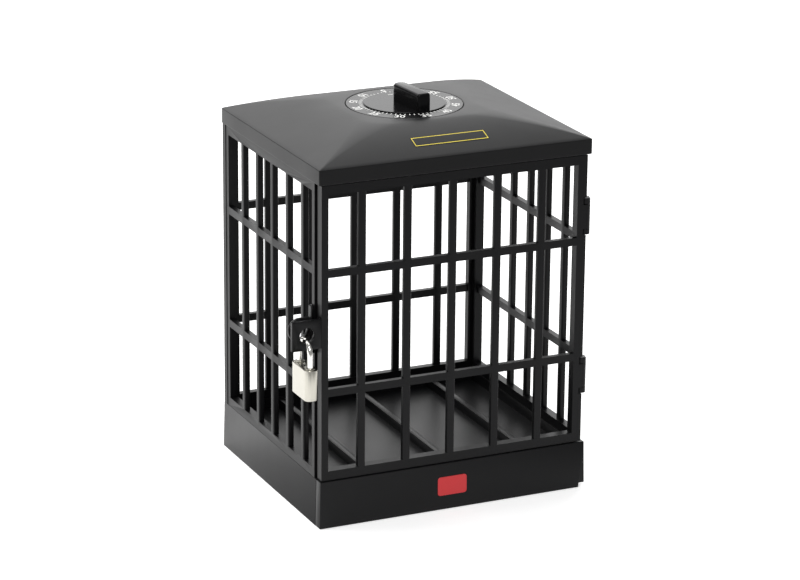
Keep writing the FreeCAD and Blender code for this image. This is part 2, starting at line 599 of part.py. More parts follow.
shackle = new_body("padlock_shackle")
leg("shackle_heel", HEEL_Y, "heel_depth")
section = sketch_on(shackle, "shackle_bow_section", "XY_Plane", BOW_Z)
circle(section, SHACKLE_X, HEEL_Y, "shackle_radius")
axis = section.addGeometry(Part.LineSegment(Vector(value(SHACKLE_X), value(LOCK_Y), 0),
                                            Vector(value(SHACKLE_X) + 5, value(LOCK_Y), 0)), True)
fix_point(section, axis, 1, SHACKLE_X, LOCK_Y)
fix_point(section, axis, 2, SHACKLE_X + " + shackle_span/2", LOCK_Y)
doc.recompute()
bow = shackle.newObject("PartDesign::Revolution", "shackle_bow")
bow.Profile = section
bow.ReferenceAxis = (section, ["Axis0"])
bow.Angle = 180
shackle.Tip = bow
doc.recompute()
if shackle.Shape.BoundBox.ZMax < value(BOW_Z) + 1:
    bow.Reversed = True
    doc.recompute()
leg("shackle_toe", TOE_Y, "toe_depth")

lock = new_body("padlock_body")
block = sketch_on(lock, "lock_outline", "XY_Plane", LOCK_LOW)
rectangle(block, SHACKLE_X + " - lock_thick/2", LOCK_Y + " - lock_wide/2", SHACKLE_X + " + lock_thick/2",
          LOCK_Y + " + lock_wide/2")
pad(lock, block, "lock_high")
fillet(lock, upright_edges(lock.Shape), "lock_round", "lock_rounding")
for name, y, depth in (("heel", HEEL_Y, "heel_depth + 0.5"), ("toe", TOE_Y, "toe_depth + 0.5")):
    well = sketch_on(lock, "lock_%s_bore" % name, "XY_Plane", LOCK_TOP)
    circle(well, SHACKLE_X, y, "shackle_radius + leg_fit")
    pocket(lock, well, depth, True)
plug_well = sketch_on(lock, "lock_plug_bore", "XY_Plane", LOCK_LOW)
circle(plug_well, SHACKLE_X, LOCK_Y, "plug_radius + plug_fit")
pocket(lock, plug_well, "plug_length + plug_fit")

rings = []
for name, y in (("heel", HEEL_Y), ("toe", TOE_Y)):
    disc = primitive("Part::Cylinder", name + "_collar_disc", (SHACKLE_X, y, LOCK_TOP), Radius="collar_radius",
                     Height="collar_height")
    hole = primitive("Part::Cylinder", name + "_collar_hole", (SHACKLE_X, y, LOCK_TOP + " - 1"),
                     Radius="shackle_radius + leg_fit", Height="collar_height + 2")
    rings.append(cut(name + "_collar", disc, hole))
group("padlock_collars", rings)

plug = new_body("padlock_plug")
face = sketch_on(plug, "plug_outline", "XY_Plane", LOCK_LOW)
circle(face, SHACKLE_X, LOCK_Y, "plug_radius")
pad(plug, face, "plug_length")
keyway = sketch_on(plug, "plug_keyway", "XY_Plane", LOCK_LOW)
rectangle(keyway, SHACKLE_X + " - keyway_wide/2", LOCK_Y + " - plug_radius*0.6", SHACKLE_X + " + keyway_wide/2",
          LOCK_Y + " + plug_radius*0.6")
pocket(plug, keyway, "keyway_deep")

# --- timer: dial, knob and spindle ----------------------------------------------------------------------
MOVE = CAGE_TOP + " + ceiling_thick + plate_thick"
MOVE_TOP = MOVE + " + pillar_height"
DIAL_LOW = CROWN + " - dial_thick"

dial = new_body("timer_dial")
disc = sketch_on(dial, "dial_outline", "XY_Plane", DIAL_LOW)
circle(disc, "0", "0", "dial_radius")
circle(disc, "0", "0", "boss_outer + spindle_fit")
pad(dial, disc, "dial_thick")


def blade_outline(sk):
    """Outline of the grip fin: a square front, straight flanks and a half-round back."""
    half, front, back = value("fin_width/2"), value("fin_front"), value("fin_back")
    spots = [Vector(-half, back, 0), Vector(-half, -front, 0), Vector(half, -front, 0), Vector(half, back, 0)]
    flank, nose, other = [sk.addGeometry(Part.LineSegment(spots[i], spots[i + 1]), False) for i in range(3)]
    bend = sk.addGeometry(Part.ArcOfCircle(Part.Circle(Vector(0, back, 0), Vector(0, 0, 1), half), 0, math.pi), False)
    for one, two in ((flank, nose), (nose, other), (other, bend), (bend, flank)):
        sk.addConstraint(Sketcher.Constraint("Coincident", one, 2, two, 1))
    sk.addConstraint(Sketcher.Constraint("Horizontal", flank, 1, other, 2))
    fix_point(sk, flank, 2, "0 - fin_width/2", "0 - fin_front")
    fix_point(sk, nose, 2, "fin_width/2", "0 - fin_front")
    fix_point(sk, other, 2, "fin_width/2", "fin_back")
    fix_point(sk, bend, 3, "0", "fin_back")


knob = new_body("timer_knob")
hub = sketch_on(knob, "knob_hub", "XY_Plane", CROWN)
circle(hub, "0", "0", "hub_radius")
pad(knob, hub, "hub_step")
boss = sketch_on(knob, "knob_boss", "XY_Plane", DIAL_LOW + " - boss_drop")
circle(boss, "0", "0", "boss_outer")
pad(knob, boss, "boss_drop + dial_thick + hub_step/2")
fin = sketch_on(knob, "knob_fin", "XY_Plane", CROWN + " + hub_step/2")
fin.AttachmentOffset = Placement(Vector(0, 0, value(CROWN + " + hub_step/2")), Rotation(Vector(0, 0, 1), 1))
fin.setExpression(".AttachmentOffset.Rotation.Angle", "Sizes.fin_turn")
blade_outline(fin)
pad(knob, fin, "fin_height + hub_step/2")
top_z = value(CROWN + " + hub_step + fin_height")
front_edges = [n for n in upright_edges(knob.Shape)
               if knob.Shape.getElement(n).CenterOfMass.y < 0 and knob.Shape.getElement(n).BoundBox.ZMax > top_z - 1e-6]
fillet(knob, front_edges, "fin_corner", "knob_corners")
crest = ["Edge%d" % i for i, e in enumerate(knob.Shape.Edges, start=1) if e.BoundBox.ZMin > top_z - 1e-4]
fillet(knob, crest, "fin_round", "knob_rounding")
socket = sketch_on(knob, "knob_socket", "XY_Plane", DIAL_LOW + " - boss_drop")
circle(socket, "0", "0", "spindle_radius + spindle_fit")
pocket(knob, socket, "boss_drop + dial_thick + hub_step + fin_height/3 + 0.3")

spindle = new_body("timer_spindle")
rod = sketch_on(spindle, "spindle_rod", "XY_Plane", CAGE_TOP + " + ceiling_thick + 0.1")
circle(rod, "0", "0", "spindle_radius")
pad(spindle, rod, "plate_thick - 0.1 + pillar_height + (%s) - (%s) + hub_step + fin_height/3" % (CROWN, MOVE_TOP))
flange = sketch_on(spindle, "spindle_flange", "XY_Plane", MOVE + " + 0.2")
circle(flange, "0", "0", "spindle_radius*1.5")
pad(spindle, flange, "main_level - 0.2")

clip_outer = primitive("Part::Cylinder", "clip_outer", ("0", "0", MOVE_TOP + " + plate_thick + 0.05"),
                       Radius="spindle_radius*1.8", Height="plate_thick/2")
clip_inner = primitive("Part::Cylinder", "clip_inner", ("0", "0", MOVE_TOP + " + plate_thick"),
                       Radius="spindle_radius + spindle_fit", Height="plate_thick*2")
clip_mouth = primitive("Part::Box", "clip_mouth", ("0", "0 - spindle_radius*0.8", MOVE_TOP + " + plate_thick"),
                       Length="spindle_radius*2", Width="spindle_radius*1.6", Height="plate_thick*2")
clip = cut("spindle_clip", clip_outer, joined("clip_opening", [clip_inner, clip_mouth]))
clip.Label = "spindle_clip"
nodes["spindle_clip"] = clip


# --- timer: gear train between two plates ---------------------------------------------------------------
def gear(name, module, teeth, level, thick, bore, spot, phase):
    """Spur wheel: a root disc, one tooth and a polar pattern, with a bore for its arbor."""
    body = new_body(name)
    root = "%s*%s/2 - %s*0.85" % (module, teeth, module)
    blank = sketch_on(body, name + "_blank", "XY_Plane", level)
    circle(blank, "0", "0", root)
    pad(body, blank, thick)
    tooth = sketch_on(body, name + "_tooth", "XY_Plane", level)
    pitch = "%s*%s/2" % (module, teeth)
    outline(tooth, [("%s - %s" % (pitch, module), "0 - %s*0.7" % module),
                    ("%s + %s*0.55" % (pitch, module), "0 - %s*0.3" % module),
                    ("%s + %s*0.55" % (pitch, module), "%s*0.3" % module),
                    ("%s - %s" % (pitch, module), "%s*0.7" % module)])
    ring_of(body, pad(body, tooth, thick), teeth, name + "_teeth")
    if bore:
        hole = sketch_on(body, name + "_bore", "XY_Plane", level)
        circle(hole, "0", "0", bore)
        pocket(body, hole, thick)
    place(body, spot, phase)
    return body


def place(body, spot, phase="0"):
    body.Placement = Placement(Vector(0, 0, 0), Rotation(Vector(0, 0, 1), 1))
    for axis, text in zip("xy", spot):
        body.setExpression(".Placement.Base." + axis, expand(text))
    body.setExpression(".Placement.Rotation.Angle", expand(phase))


def arbor(body, name):
    """Shaft through both plates, fused with the pinion of its body."""
    rod = sketch_on(body, name, "XY_Plane", CAGE_TOP + " + ceiling_thick + 0.1")
    circle(rod, "0", "0", "arbor_radius")
    pad(body, rod, "plate_thick*2 - 0.1 + pillar_height")


STEP = "(main_module*(main_teeth + pinion_teeth)/2)"
TRAIN = "(train_module*(train_teeth + pinion_teeth)/2)"
SECOND = ("0 - " + STEP, "0")
THIRD = (SECOND[0] + " + " + TRAIN + "*cos(third_angle * 1 deg)", TRAIN + "*sin(third_angle * 1 deg)")
ESCAPE = (THIRD[0] + " + " + TRAIN + "*cos(escape_angle * 1 deg)",
          THIRD[1] + " + " + TRAIN + "*sin(escape_angle * 1 deg)")
PALLET = (ESCAPE[0] + " + escape_radius*1.7", ESCAPE[1])

gear("main_wheel", "main_module", "main_teeth", MOVE + " + main_level", "wheel_thick",
     "spindle_radius + spindle_fit", ("0", "0"), "180 - 180/main_teeth")
arbor(gear("second_pinion", "main_module", "pinion_teeth", MOVE + " + main_level - 0.4", "pinion_thick", None,
           SECOND, "0"), "second_arbor")
gear("second_wheel", "train_module", "train_teeth", MOVE + " + second_level", "wheel_thick",
     "arbor_radius + arbor_fit", SECOND, "third_angle - 180/train_teeth")
arbor(gear("third_pinion", "train_module", "pinion_teeth", MOVE + " + second_level - 0.4", "pinion_thick", None,
           THIRD, "third_angle + 180"), "third_arbor")
gear("third_wheel", "train_module", "train_teeth", MOVE + " + third_level", "wheel_thick",
     "arbor_radius + arbor_fit", THIRD, "escape_angle - 180/train_teeth")
arbor(gear("escape_pinion", "train_module", "pinion_teeth", MOVE + " + third_level - 0.4", "pinion_thick", None,
           ESCAPE, "escape_angle + 180"), "escape_arbor")

escape = new_body("escape_wheel")
blank = sketch_on(escape, "escape_blank", "XY_Plane", MOVE + " + escape_level")
circle(blank, "0", "0", "escape_radius*0.75")
pad(escape, blank, "wheel_thick*0.8")
tooth = sketch_on(escape, "escape_tooth", "XY_Plane", MOVE + " + escape_level")
outline(tooth, [("escape_radius*0.7", "0 - escape_radius*0.06"), ("escape_radius", "escape_radius*0.13"),
                ("escape_radius", "escape_radius*0.18"), ("escape_radius*0.7", "escape_radius*0.16")])
ring_of(escape, pad(escape, tooth, "wheel_thick*0.8"), "escape_teeth", "escape_teeth_ring")
hole = sketch_on(escape, "escape_bore", "XY_Plane", MOVE + " + escape_level")
circle(hole, "0", "0", "arbor_radius + arbor_fit")
pocket(escape, hole, "wheel_thick")
place(escape, ESCAPE)

pallet = new_body("pallet_lever")
bar = sketch_on(pallet, "pallet_bar", "XY_Plane", MOVE + " + escape_level")
outline(bar, [("0 - escape_radius*0.5", "escape_radius*0.85"), ("0 - escape_radius*0.5", "escape_radius*0.65"),
              ("0 - escape_radius*0.14", "0"), ("0 - escape_radius*0.5", "0 - escape_radius*0.65"),
              ("0 - escape_radius*0.5", "0 - escape_radius*0.85"), ("escape_radius*0.2", "0 - escape_radius*0.25"),
              ("escape_radius*0.2", "escape_radius*0.25")])
pad(pallet, bar, "wheel_thick*0.8")
arbor(pallet, "pallet_arbor")
place(pallet, PALLET)

PLATE_SPOTS = [SECOND, THIRD, ESCAPE, PALLET, ("hammer_x", "hammer_y")]
for name, level in (("movement_base", CAGE_TOP + " + ceiling_thick"), ("movement_top", MOVE_TOP)):
    plate = new_body(name)
    sheet_sk = sketch_on(plate, name + "_outline", "XY_Plane", level)
    rectangle(sheet_sk, "0 - plate_width/2", "0 - plate_depth/2", "plate_width/2", "plate_depth/2")
    circle(sheet_sk, "0", "0", "spindle_radius + spindle_fit")
    for x, y in PLATE_SPOTS:
        circle(sheet_sk, x, y, "arbor_radius + arbor_fit")
    pad(plate, sheet_sk, "plate_thick")
pillars = [primitive("Part::Prism", "pillar_%d" % i, (sx + "pillar_x", sy + "pillar_y", MOVE),
                     Circumradius="pillar_radius", Height="pillar_height")
           for i, (sx, sy) in enumerate((("0 - ", "0 - "), ("", "0 - "), ("0 - ", ""), ("", "")))]
group("movement_pillars", pillars)

# Mainspring: half rings about two centres in turn, so the strip leaves each one tangent to the next
half_rings = []
for k in range(int(size("spring_turns")) * 2):
    middle = size("spring_inner") + k * size("spring_pitch") / 2
    shift = size("spring_pitch") / 4 * (1 if k % 2 else -1)
    start = Rotation(Vector(0, 0, 1), 180 * k)
    outer = Part.makeCylinder(middle + size("spring_thick") / 2, size("spring_height"), Vector(0, 0, 0),
                              Vector(0, 0, 1), 180)
    inner = Part.makeCylinder(middle - size("spring_thick") / 2, size("spring_height"), Vector(0, 0, 0),
                              Vector(0, 0, 1), 180)
    half = outer.cut(inner)
    half.Placement = Placement(Vector(shift, 0, 0), start)
    half_rings.append(half)
spring = doc.addObject("Part::Feature", "mainspring")
spring.Label = "mainspring"
spring.Shape = half_rings[0].multiFuse(half_rings[1:]).removeSplitter()
spring.Placement = Placement(Vector(0, 0, value(MOVE + " + second_level - wheel_thick")), Rotation())
nodes["mainspring"] = spring
post = primitive("Part::Cylinder", "spring_post",
                 ("spring_inner + spring_pitch*spring_turns + spring_thick + 0.9", "0",
                  MOVE + " + second_level - wheel_thick"),
                 Radius="arbor_radius", Height="pillar_height - second_level + wheel_thick")
post.Label = "spring_post"
nodes["spring_post"] = post

# --- bell and hammer ------------------------------------------------------------------------------------
BELL_LOW = CAGE_TOP + " + ceiling_thick + bell_lift"
bell = new_body("bell")
profile = sketch_on(bell, "bell_profile", "XZ_Plane")
outline(profile, [("bell_radius", "0"), ("bell_radius*0.8", "bell_height"),
                  ("bell_post_radius + 0.05", "bell_height"),
                  ("bell_post_radius + 0.05", "bell_height - bell_wall"),
                  ("bell_radius*0.8 - bell_wall", "bell_height - bell_wall"), ("bell_radius - bell_wall", "0")])
turn = bell.newObject("PartDesign::Revolution", "bell_turn")
turn.Profile = profile
turn.ReferenceAxis = (profile, ["V_Axis"])
turn.Angle = 360
bell.Tip = turn
bell.setExpression(".Placement.Base.x", expand("bell_x"))
bell.setExpression(".Placement.Base.z", expand(BELL_LOW))
stem = primitive("Part::Cylinder", "bell_stem", ("bell_x", "0", CAGE_TOP + " + ceiling_thick"),
                 Radius="bell_post_radius", Height="bell_lift + bell_height + 0.4")
seat = primitive("Part::Cylinder", "bell_seat", ("bell_x", "0", CAGE_TOP + " + ceiling_thick"),
                 Radius="bell_post_radius*2", Height="bell_lift + bell_height - bell_wall")
nut = primitive("Part::Cylinder", "bell_nut", ("bell_x", "0", BELL_LOW + " + bell_height"),
                Radius="bell_post_radius*1.8", Height="0.8")
post = joined("bell_post", [stem, seat, nut])
post.Label = "bell_post"
nodes["bell_post"] = post

hammer = new_body("bell_hammer")
HEAD = ("bell_x - bell_radius - hammer_gap - hammer_radius", "0")
head = sketch_on(hammer, "hammer_head", "XY_Plane", BELL_LOW)
circle(head, HEAD[0], HEAD[1], "hammer_radius")
pad(hammer, head, "bell_height*0.4")
bar = sketch_on(hammer, "hammer_arm", "XY_Plane", BELL_LOW)
outline(bar, [("hammer_x - arbor_radius*1.5", "hammer_y"), (HEAD[0] + " - arbor_radius", "0"),
              (HEAD[0] + " + arbor_radius", "0"), ("hammer_x + arbor_radius*1.5", "hammer_y")])
pad(hammer, bar, "bell_height*0.25")
rod = sketch_on(hammer, "hammer_arbor", "XY_Plane", CAGE_TOP + " + ceiling_thick + 0.1")
circle(rod, "hammer_x", "hammer_y", "arbor_radius")
pad(hammer, rod, "plate_thick*2 - 0.1 + pillar_height")

# --- checks and export ----------------------------------------------------------------------------------
doc.recompute()
for item in doc.Objects:
    if {"Invalid", "Error"} & set(item.State):
        raise RuntimeError("%s failed: %s" % (item.Name, item.State))
os.makedirs("parts", exist_ok=True)
for name, item in nodes.items():
    shape = item.Shape
    if shape.isNull() or not shape.isValid() or not shape.Solids:
        raise RuntimeError("%s has no valid solid" % name)
    print("%-18s solids %d  volume %9.1f" % (name, len(shape.Solids), shape.Volume))
for name, item in nodes.items():
    item.Shape.exportStep("parts/%s.step" % name)
print(len(nodes), "nodes written")
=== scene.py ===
import math

import bmesh
import bpy
from mathutils import Matrix, Vector


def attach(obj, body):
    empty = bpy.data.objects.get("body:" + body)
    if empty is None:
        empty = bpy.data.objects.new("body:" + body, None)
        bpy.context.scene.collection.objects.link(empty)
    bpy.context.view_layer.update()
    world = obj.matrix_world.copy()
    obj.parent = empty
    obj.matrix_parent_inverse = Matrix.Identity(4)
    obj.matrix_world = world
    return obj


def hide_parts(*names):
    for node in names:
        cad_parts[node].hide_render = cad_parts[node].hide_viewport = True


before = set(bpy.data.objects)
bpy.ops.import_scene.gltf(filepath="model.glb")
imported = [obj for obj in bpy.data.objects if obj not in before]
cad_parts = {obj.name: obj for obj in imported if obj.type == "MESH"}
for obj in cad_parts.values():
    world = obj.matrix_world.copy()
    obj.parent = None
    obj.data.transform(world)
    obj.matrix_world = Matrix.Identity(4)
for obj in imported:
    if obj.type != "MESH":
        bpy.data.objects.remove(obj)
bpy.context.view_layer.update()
mm = 0.001


class Sock:  # a node's output, with sums written as Python
    def __init__(self, plan, socket):
        self.plan, self.socket = plan, socket

    def out(self, name):
        return Sock(self.plan, self.socket.node.outputs[name])

    def maths(self, operation, first, second):
        return self.plan.add("ShaderNodeMath", {"operation": operation}, {0: first, 1: second})

    def __add__(self, other):
        return self.maths("ADD", self, other)

    def __sub__(self, other):
        return self.maths("SUBTRACT", self, other)

    def __rsub__(self, other):
        return self.maths("SUBTRACT", other, self)

    def __mul__(self, other):
        return self.maths("MULTIPLY", self, other)

    def __truediv__(self, other):
        return self.maths("DIVIDE", self, other)

    def __rtruediv__(self, other):
        return self.maths("DIVIDE", other, self)

    __radd__ = __add__
    __rmul__ = __mul__


class Plan:  # one node tree while it is being built
    def __init__(self, tree):
        self.tree = tree

    def add(self, kind, settings=None, values=None):  # a list as a value links each of its items
        node = self.tree.nodes.new(kind)
        for name, value in (settings or {}).items():
            setattr(node, name, value)
        for name, value in (values or {}).items():
            if isinstance(name, str):
                target = next(s for s in node.inputs if s.name == name and s.enabled)
            else:
                target = node.inputs[name]
            for item in value if isinstance(value, list) else [value]:
                if isinstance(item, Sock):
                    self.tree.links.new(item.socket, target)
                else:
                    target.default_value = item
        return Sock(self, next((s for s in node.outputs if s.enabled), None))


# Finishes: noise scales are per metre, bump depths are metres
def finish(name, surface):
    material = bpy.data.materials.new(name)
    material.use_nodes = True
    material.node_tree.nodes.clear()
    plan = Plan(material.node_tree)
    place = plan.add("ShaderNodeTexCoord").out("Object")
    shader = plan.add("ShaderNodeBsdfPrincipled", None, surface(plan, place))
    plan.add("ShaderNodeOutputMaterial", None, {"Surface": shader})
    return material


def noise(plan, place, scale, detail=3.0, roughness=0.5):
    return plan.add("ShaderNodeTexNoise", None,
                    {"Vector": place, "Scale": scale, "Detail": detail, "Roughness": roughness})


def stretched(plan, place, scale):
    return plan.add("ShaderNodeMapping", None, {"Vector": place, "Scale": scale})


def blended(plan, factor, first, second):
    return plan.add("ShaderNodeMix", {"data_type": "RGBA"}, {"Factor": factor, "A": first, "B": second})


def bumped(plan, height, strength, distance):
    return plan.add("ShaderNodeBump", None, {"Height": height, "Strength": strength, "Distance": distance})


def tinted(colour, share=1.0):
    return tuple(c * share for c in colour) + (1.0,)


mouldLook = {"dark": 0.8, "light": 1.25, "cloud": 28.0, "flow": (60.0, 60.0, 14.0), "spark": 3800.0,
             "depth": 0.00006, "gloss": 0.05}
metalLook = {"cloud": 90.0, "brush": 2600.0, "depth": 0.00003, "gloss": 0.05, "base": 0.04}
printLook = {"thin": 0.88, "cloud": 160.0, "speck": 5200.0, "grain": 0.08, "depth": 0.00003, "gloss": 0.08}
plainSheen = 0.5  # the shader's own specular level


def moulded(name, colour, roughness, grain=0.12, sheen=1.0):
    look = mouldLook

    def surface(plan, place):
        cloud = noise(plan, place, look["cloud"])  # the slow mottling of a moulding
        flow = noise(plan, stretched(plan, place, look["flow"]), 1.0, 2.0)
        texture = noise(plan, place, look["spark"], 2.0, 0.6)  # spark texture of the tool
        dark, light = tinted(colour, look["dark"]), tinted(colour, look["light"])
        return {"Base Color": blended(plan, cloud, dark, light),
                "Roughness": roughness - look["gloss"] + cloud * look["gloss"] + flow * look["gloss"],
                "Specular IOR Level": plainSheen * sheen,
                "Normal": bumped(plan, texture, grain, look["depth"])}
    return finish(name, surface)


def metal(name, colour, roughness, along=(1.0, 1.0, 1.0), grain=0.08, tarnish=0.85):
    look = metalLook

    def surface(plan, place):
        cloud = noise(plan, place, look["cloud"])
        brush = noise(plan, stretched(plan, place, along), look["brush"], 2.0, 0.6)
        return {"Base Color": blended(plan, cloud, tinted(colour, tarnish), tinted(colour)), "Metallic": 1.0,
                "Roughness": roughness - look["base"] + cloud * look["gloss"] + brush * look["gloss"],
                "Normal": bumped(plan, brush, grain, look["depth"])}
    return finish(name, surface)


def printed(name, colour, roughness, sheen=1.0):
    look = printLook

    def surface(plan, place):
        cloud = noise(plan, place, look["cloud"])
        speck = noise(plan, place, look["speck"], 1.0)
        return {"Base Color": blended(plan, cloud, tinted(colour, look["thin"]), tinted(colour)),
                "Roughness": roughness + cloud * look["gloss"], "Specular IOR Level": plainSheen * sheen,
                "Normal": bumped(plan, speck, look["grain"], look["depth"])}
    return finish(name, surface)


finishes = {
    "cageBlack": moulded("cageBlack", (0.004, 0.004, 0.0044), 0.34, 0.12, 0.3),
    "roofBlack": moulded("roofBlack", (0.006, 0.006, 0.0063), 0.36, 0.16, 0.34),
    "dialBlack": moulded("dialBlack", (0.006, 0.006, 0.0063), 0.24, 0.05, 0.34),
    "gripBlack": moulded("gripBlack", (0.0035, 0.0035, 0.0038), 0.15, 0.02, 0.24),
    "nickel": metal("nickel", (0.55, 0.53, 0.47), 0.22, (1.0, 1.0, 0.06), 0.12),
    "shackleSteel": metal("shackleSteel", (0.86, 0.85, 0.81), 0.16, (1.0, 1.0, 1.0), 0.03),
    "gearBrass": metal("gearBrass", (0.72, 0.53, 0.24), 0.3, (1.0, 1.0, 1.0), 0.1),
    "workSteel": metal("workSteel", (0.55, 0.55, 0.56), 0.32, (1.0, 1.0, 0.2), 0.1),
    "screwSteel": metal("screwSteel", (0.42, 0.42, 0.43), 0.36, (1.0, 1.0, 1.0), 0.1),
    "pinSteel": metal("pinSteel", (0.09, 0.09, 0.092), 0.4, (1.0, 1.0, 0.2), 0.1),
    "printWhite": printed("printWhite", (0.82, 0.82, 0.8), 0.5),
    "labelBlack": printed("labelBlack", (0.004, 0.004, 0.004), 0.32, 0.3),
    "labelYellow": printed("labelYellow", (0.78, 0.62, 0.02), 0.4),
    "badgeRed": printed("badgeRed", (0.5, 0.008, 0.012), 0.3),
}
print("finishes made:", len(finishes))


# Shared mesh work: lengths are millimetres until a vertex is made
weld = {"copy": 0.002, "grown": 0.004, "print": 0.001, "flat": 0.6}  # millimetres, and degrees for flat


def linked(name, data):
    holder = bpy.data.objects.new(name, data)
    bpy.context.scene.collection.objects.link(holder)
    return holder


def keep(mesh, name, material, body, replaced=()):  # dresses a mesh and rides it on its body
    piece = linked(name, mesh)
    mesh.materials.clear()
    mesh.materials.append(finishes[material])
    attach(piece, body)
    if replaced:
        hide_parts(*replaced)
    return piece


def evaluated(holder):  # the mesh after modifiers, with the holder removed
    layer = bpy.context.evaluated_depsgraph_get()
    mesh = bpy.data.meshes.new_from_object(holder.evaluated_get(layer), preserve_all_data_layers=True,
                                           depsgraph=layer)
    old = holder.data
    bpy.data.objects.remove(holder)
    if old.users == 0:
        (bpy.data.meshes if isinstance(old, bpy.types.Mesh) else bpy.data.curves).remove(old)
    return mesh


def rounded(mesh, width, segments=2, angle=28.0):  # softens every edge that turns by more than the angle
    holder = linked("rounding", mesh)
    mesh.shade_smooth()
    bevel = holder.modifiers.new("edge", "BEVEL")
    bevel.width, bevel.segments = width * mm, segments
    bevel.limit_method, bevel.angle_limit = "ANGLE", math.radians(angle)
    bevel.harden_normals = True
    bevel.miter_outer = "MITER_ARC"
    cut = holder.modifiers.new("cut", "TRIANGULATE")  # no face keeps more than four corners
    cut.min_vertices, cut.keep_custom_normals = 5, True
    return evaluated(holder)


def fromBmesh(bm, name):
    mesh = bpy.data.meshes.new(name)
    bm.to_mesh(mesh)
    bm.free()
    return mesh


def welded(mesh, gap, name):  # close points merged and flat faces made whole
    bm = bmesh.new()
    bm.from_mesh(mesh)
    bmesh.ops.remove_doubles(bm, verts=bm.verts, dist=gap * mm)
    bmesh.ops.dissolve_limit(bm, angle_limit=math.radians(weld["flat"]), verts=bm.verts, edges=bm.edges)
    return fromBmesh(bm, name)


def merged(meshes, name):
    bm = bmesh.new()
    for mesh in meshes:
        bm.from_mesh(mesh)
        bpy.data.meshes.remove(mesh)
    bmesh.ops.remove_doubles(bm, verts=bm.verts, dist=weld["print"] * mm)
    return fromBmesh(bm, name)


def skinned(rings, looped=False):  # a solid whose skin runs from ring to ring, looped or capped at both ends
    bm = bmesh.new()
    made = [[bm.verts.new(point * mm) for point in ring] for ring in rings]
    count = len(made[0])
    following = made[1:] + (made[:1] if looped else [])
    for low, high in zip(made, following):
        for i in range(count):
            j = (i + 1) % count
            bm.faces.new((low[i], low[j], high[j], high[i]))
    if not looped:
        bm.faces.new(reversed(made[0]))
        bm.faces.new(made[-1])
    bmesh.ops.recalc_face_normals(bm, faces=bm.faces)
    return bm


def turned(profile, segments, x=0.0, y=0.0, looped=True):  # a profile of (radius, height) spun about Z
    angles = [2 * math.pi * i / segments for i in range(segments)]
    return skinned([[Vector((x + radius * math.cos(a), y + radius * math.sin(a), height)) for a in angles]
                    for radius, height in profile], looped)


def rim(radius, level, edge, nip):  # a softened upper edge: down by edge, in and down by nip, in by edge
    return [(radius, level - edge), (radius - nip[0], level - nip[1]), (radius - edge, level)]


def softShaded(mesh, angle):
    mesh.shade_smooth()
    mesh.set_sharp_from_angle(angle=math.radians(angle))
    return mesh


# Geometry nodes: one tree for each repeated thing, with its sizes as named inputs
def newTree(name, sizes, build):
    tree = bpy.data.node_groups.new(name, "GeometryNodeTree")
    tree.interface.new_socket("Geometry", in_out="OUTPUT", socket_type="NodeSocketGeometry")
    for label, value in sizes.items():
        kind = "NodeSocketInt" if isinstance(value, int) else "NodeSocketFloat"
        tree.interface.new_socket(label, in_out="INPUT", socket_type=kind).default_value = value
    tree.interface.new_socket("finish", in_out="INPUT", socket_type="NodeSocketMaterial")
    plan = Plan(tree)
    given = plan.add("NodeGroupInput")
    read = {label: given.out(label) for label in list(sizes) + ["finish"]}
    solid = plan.add("GeometryNodeRealizeInstances", None, {"Geometry": build(plan, read)})
    solid = plan.add("GeometryNodeSetMaterial", None, {"Geometry": solid, "Material": read["finish"]})
    node = tree.nodes.new("NodeGroupOutput")
    tree.links.new(solid.socket, node.inputs[0])
    return tree


def grown(name, lengths, counts, build, material):  # builds a tree, runs it and gives the plain mesh
    sizes = {**{label: value * mm for label, value in lengths.items()}, **counts}
    tree = newTree(name, sizes, build)
    holder = linked(name, bpy.data.meshes.new(name))
    modifier = holder.modifiers.new("grow", "NODES")
    modifier.node_group = tree
    for item in tree.interface.items_tree:
        if item.in_out == "INPUT":
            modifier[item.identifier] = finishes[material] if item.name == "finish" else sizes[item.name]
    return evaluated(holder)


def triple(plan, x, y, z):
    return plan.add("ShaderNodeCombineXYZ", None, {"X": x, "Y": y, "Z": z})


def moved(plan, shape, x, y, z):
    return plan.add("GeometryNodeTransform", None, {"Geometry": shape, "Translation": triple(plan, x, y, z)})


def box(plan, x, y, z):
    return plan.add("GeometryNodeMeshCube", None, {"Size": triple(plan, x, y, z)})


def slab(plan, low, high):  # a box between two corners, each with three values or sockets in metres
    cube = box(plan, *[b - a for a, b in zip(low, high)])
    return moved(plan, cube, *[(b + a) * 0.5 for a, b in zip(low, high)])


def slabOf(plan, low, high):  # the same with plain millimetres
    return slab(plan, [value * mm for value in low], [value * mm for value in high])


def tube(plan, sides, radius, depth):
    return plan.add("GeometryNodeMeshCylinder", None, {"Vertices": sides, "Radius": radius, "Depth": depth})


def united(plan, parts):
    return plan.add("GeometryNodeMeshBoolean", {"operation": "UNION", "solver": "EXACT"}, {"Mesh": parts})


def minus(plan, base, parts):
    return plan.add("GeometryNodeMeshBoolean", {"operation": "DIFFERENCE", "solver": "EXACT"},
                    {"Mesh 1": base, "Mesh 2": parts})


def copies(plan, spots, shape, turn=None):
    values = {"Points": spots, "Instance": shape}
    if turn:
        values["Rotation"] = turn
    return plan.add("GeometryNodeInstanceOnPoints", None, values)


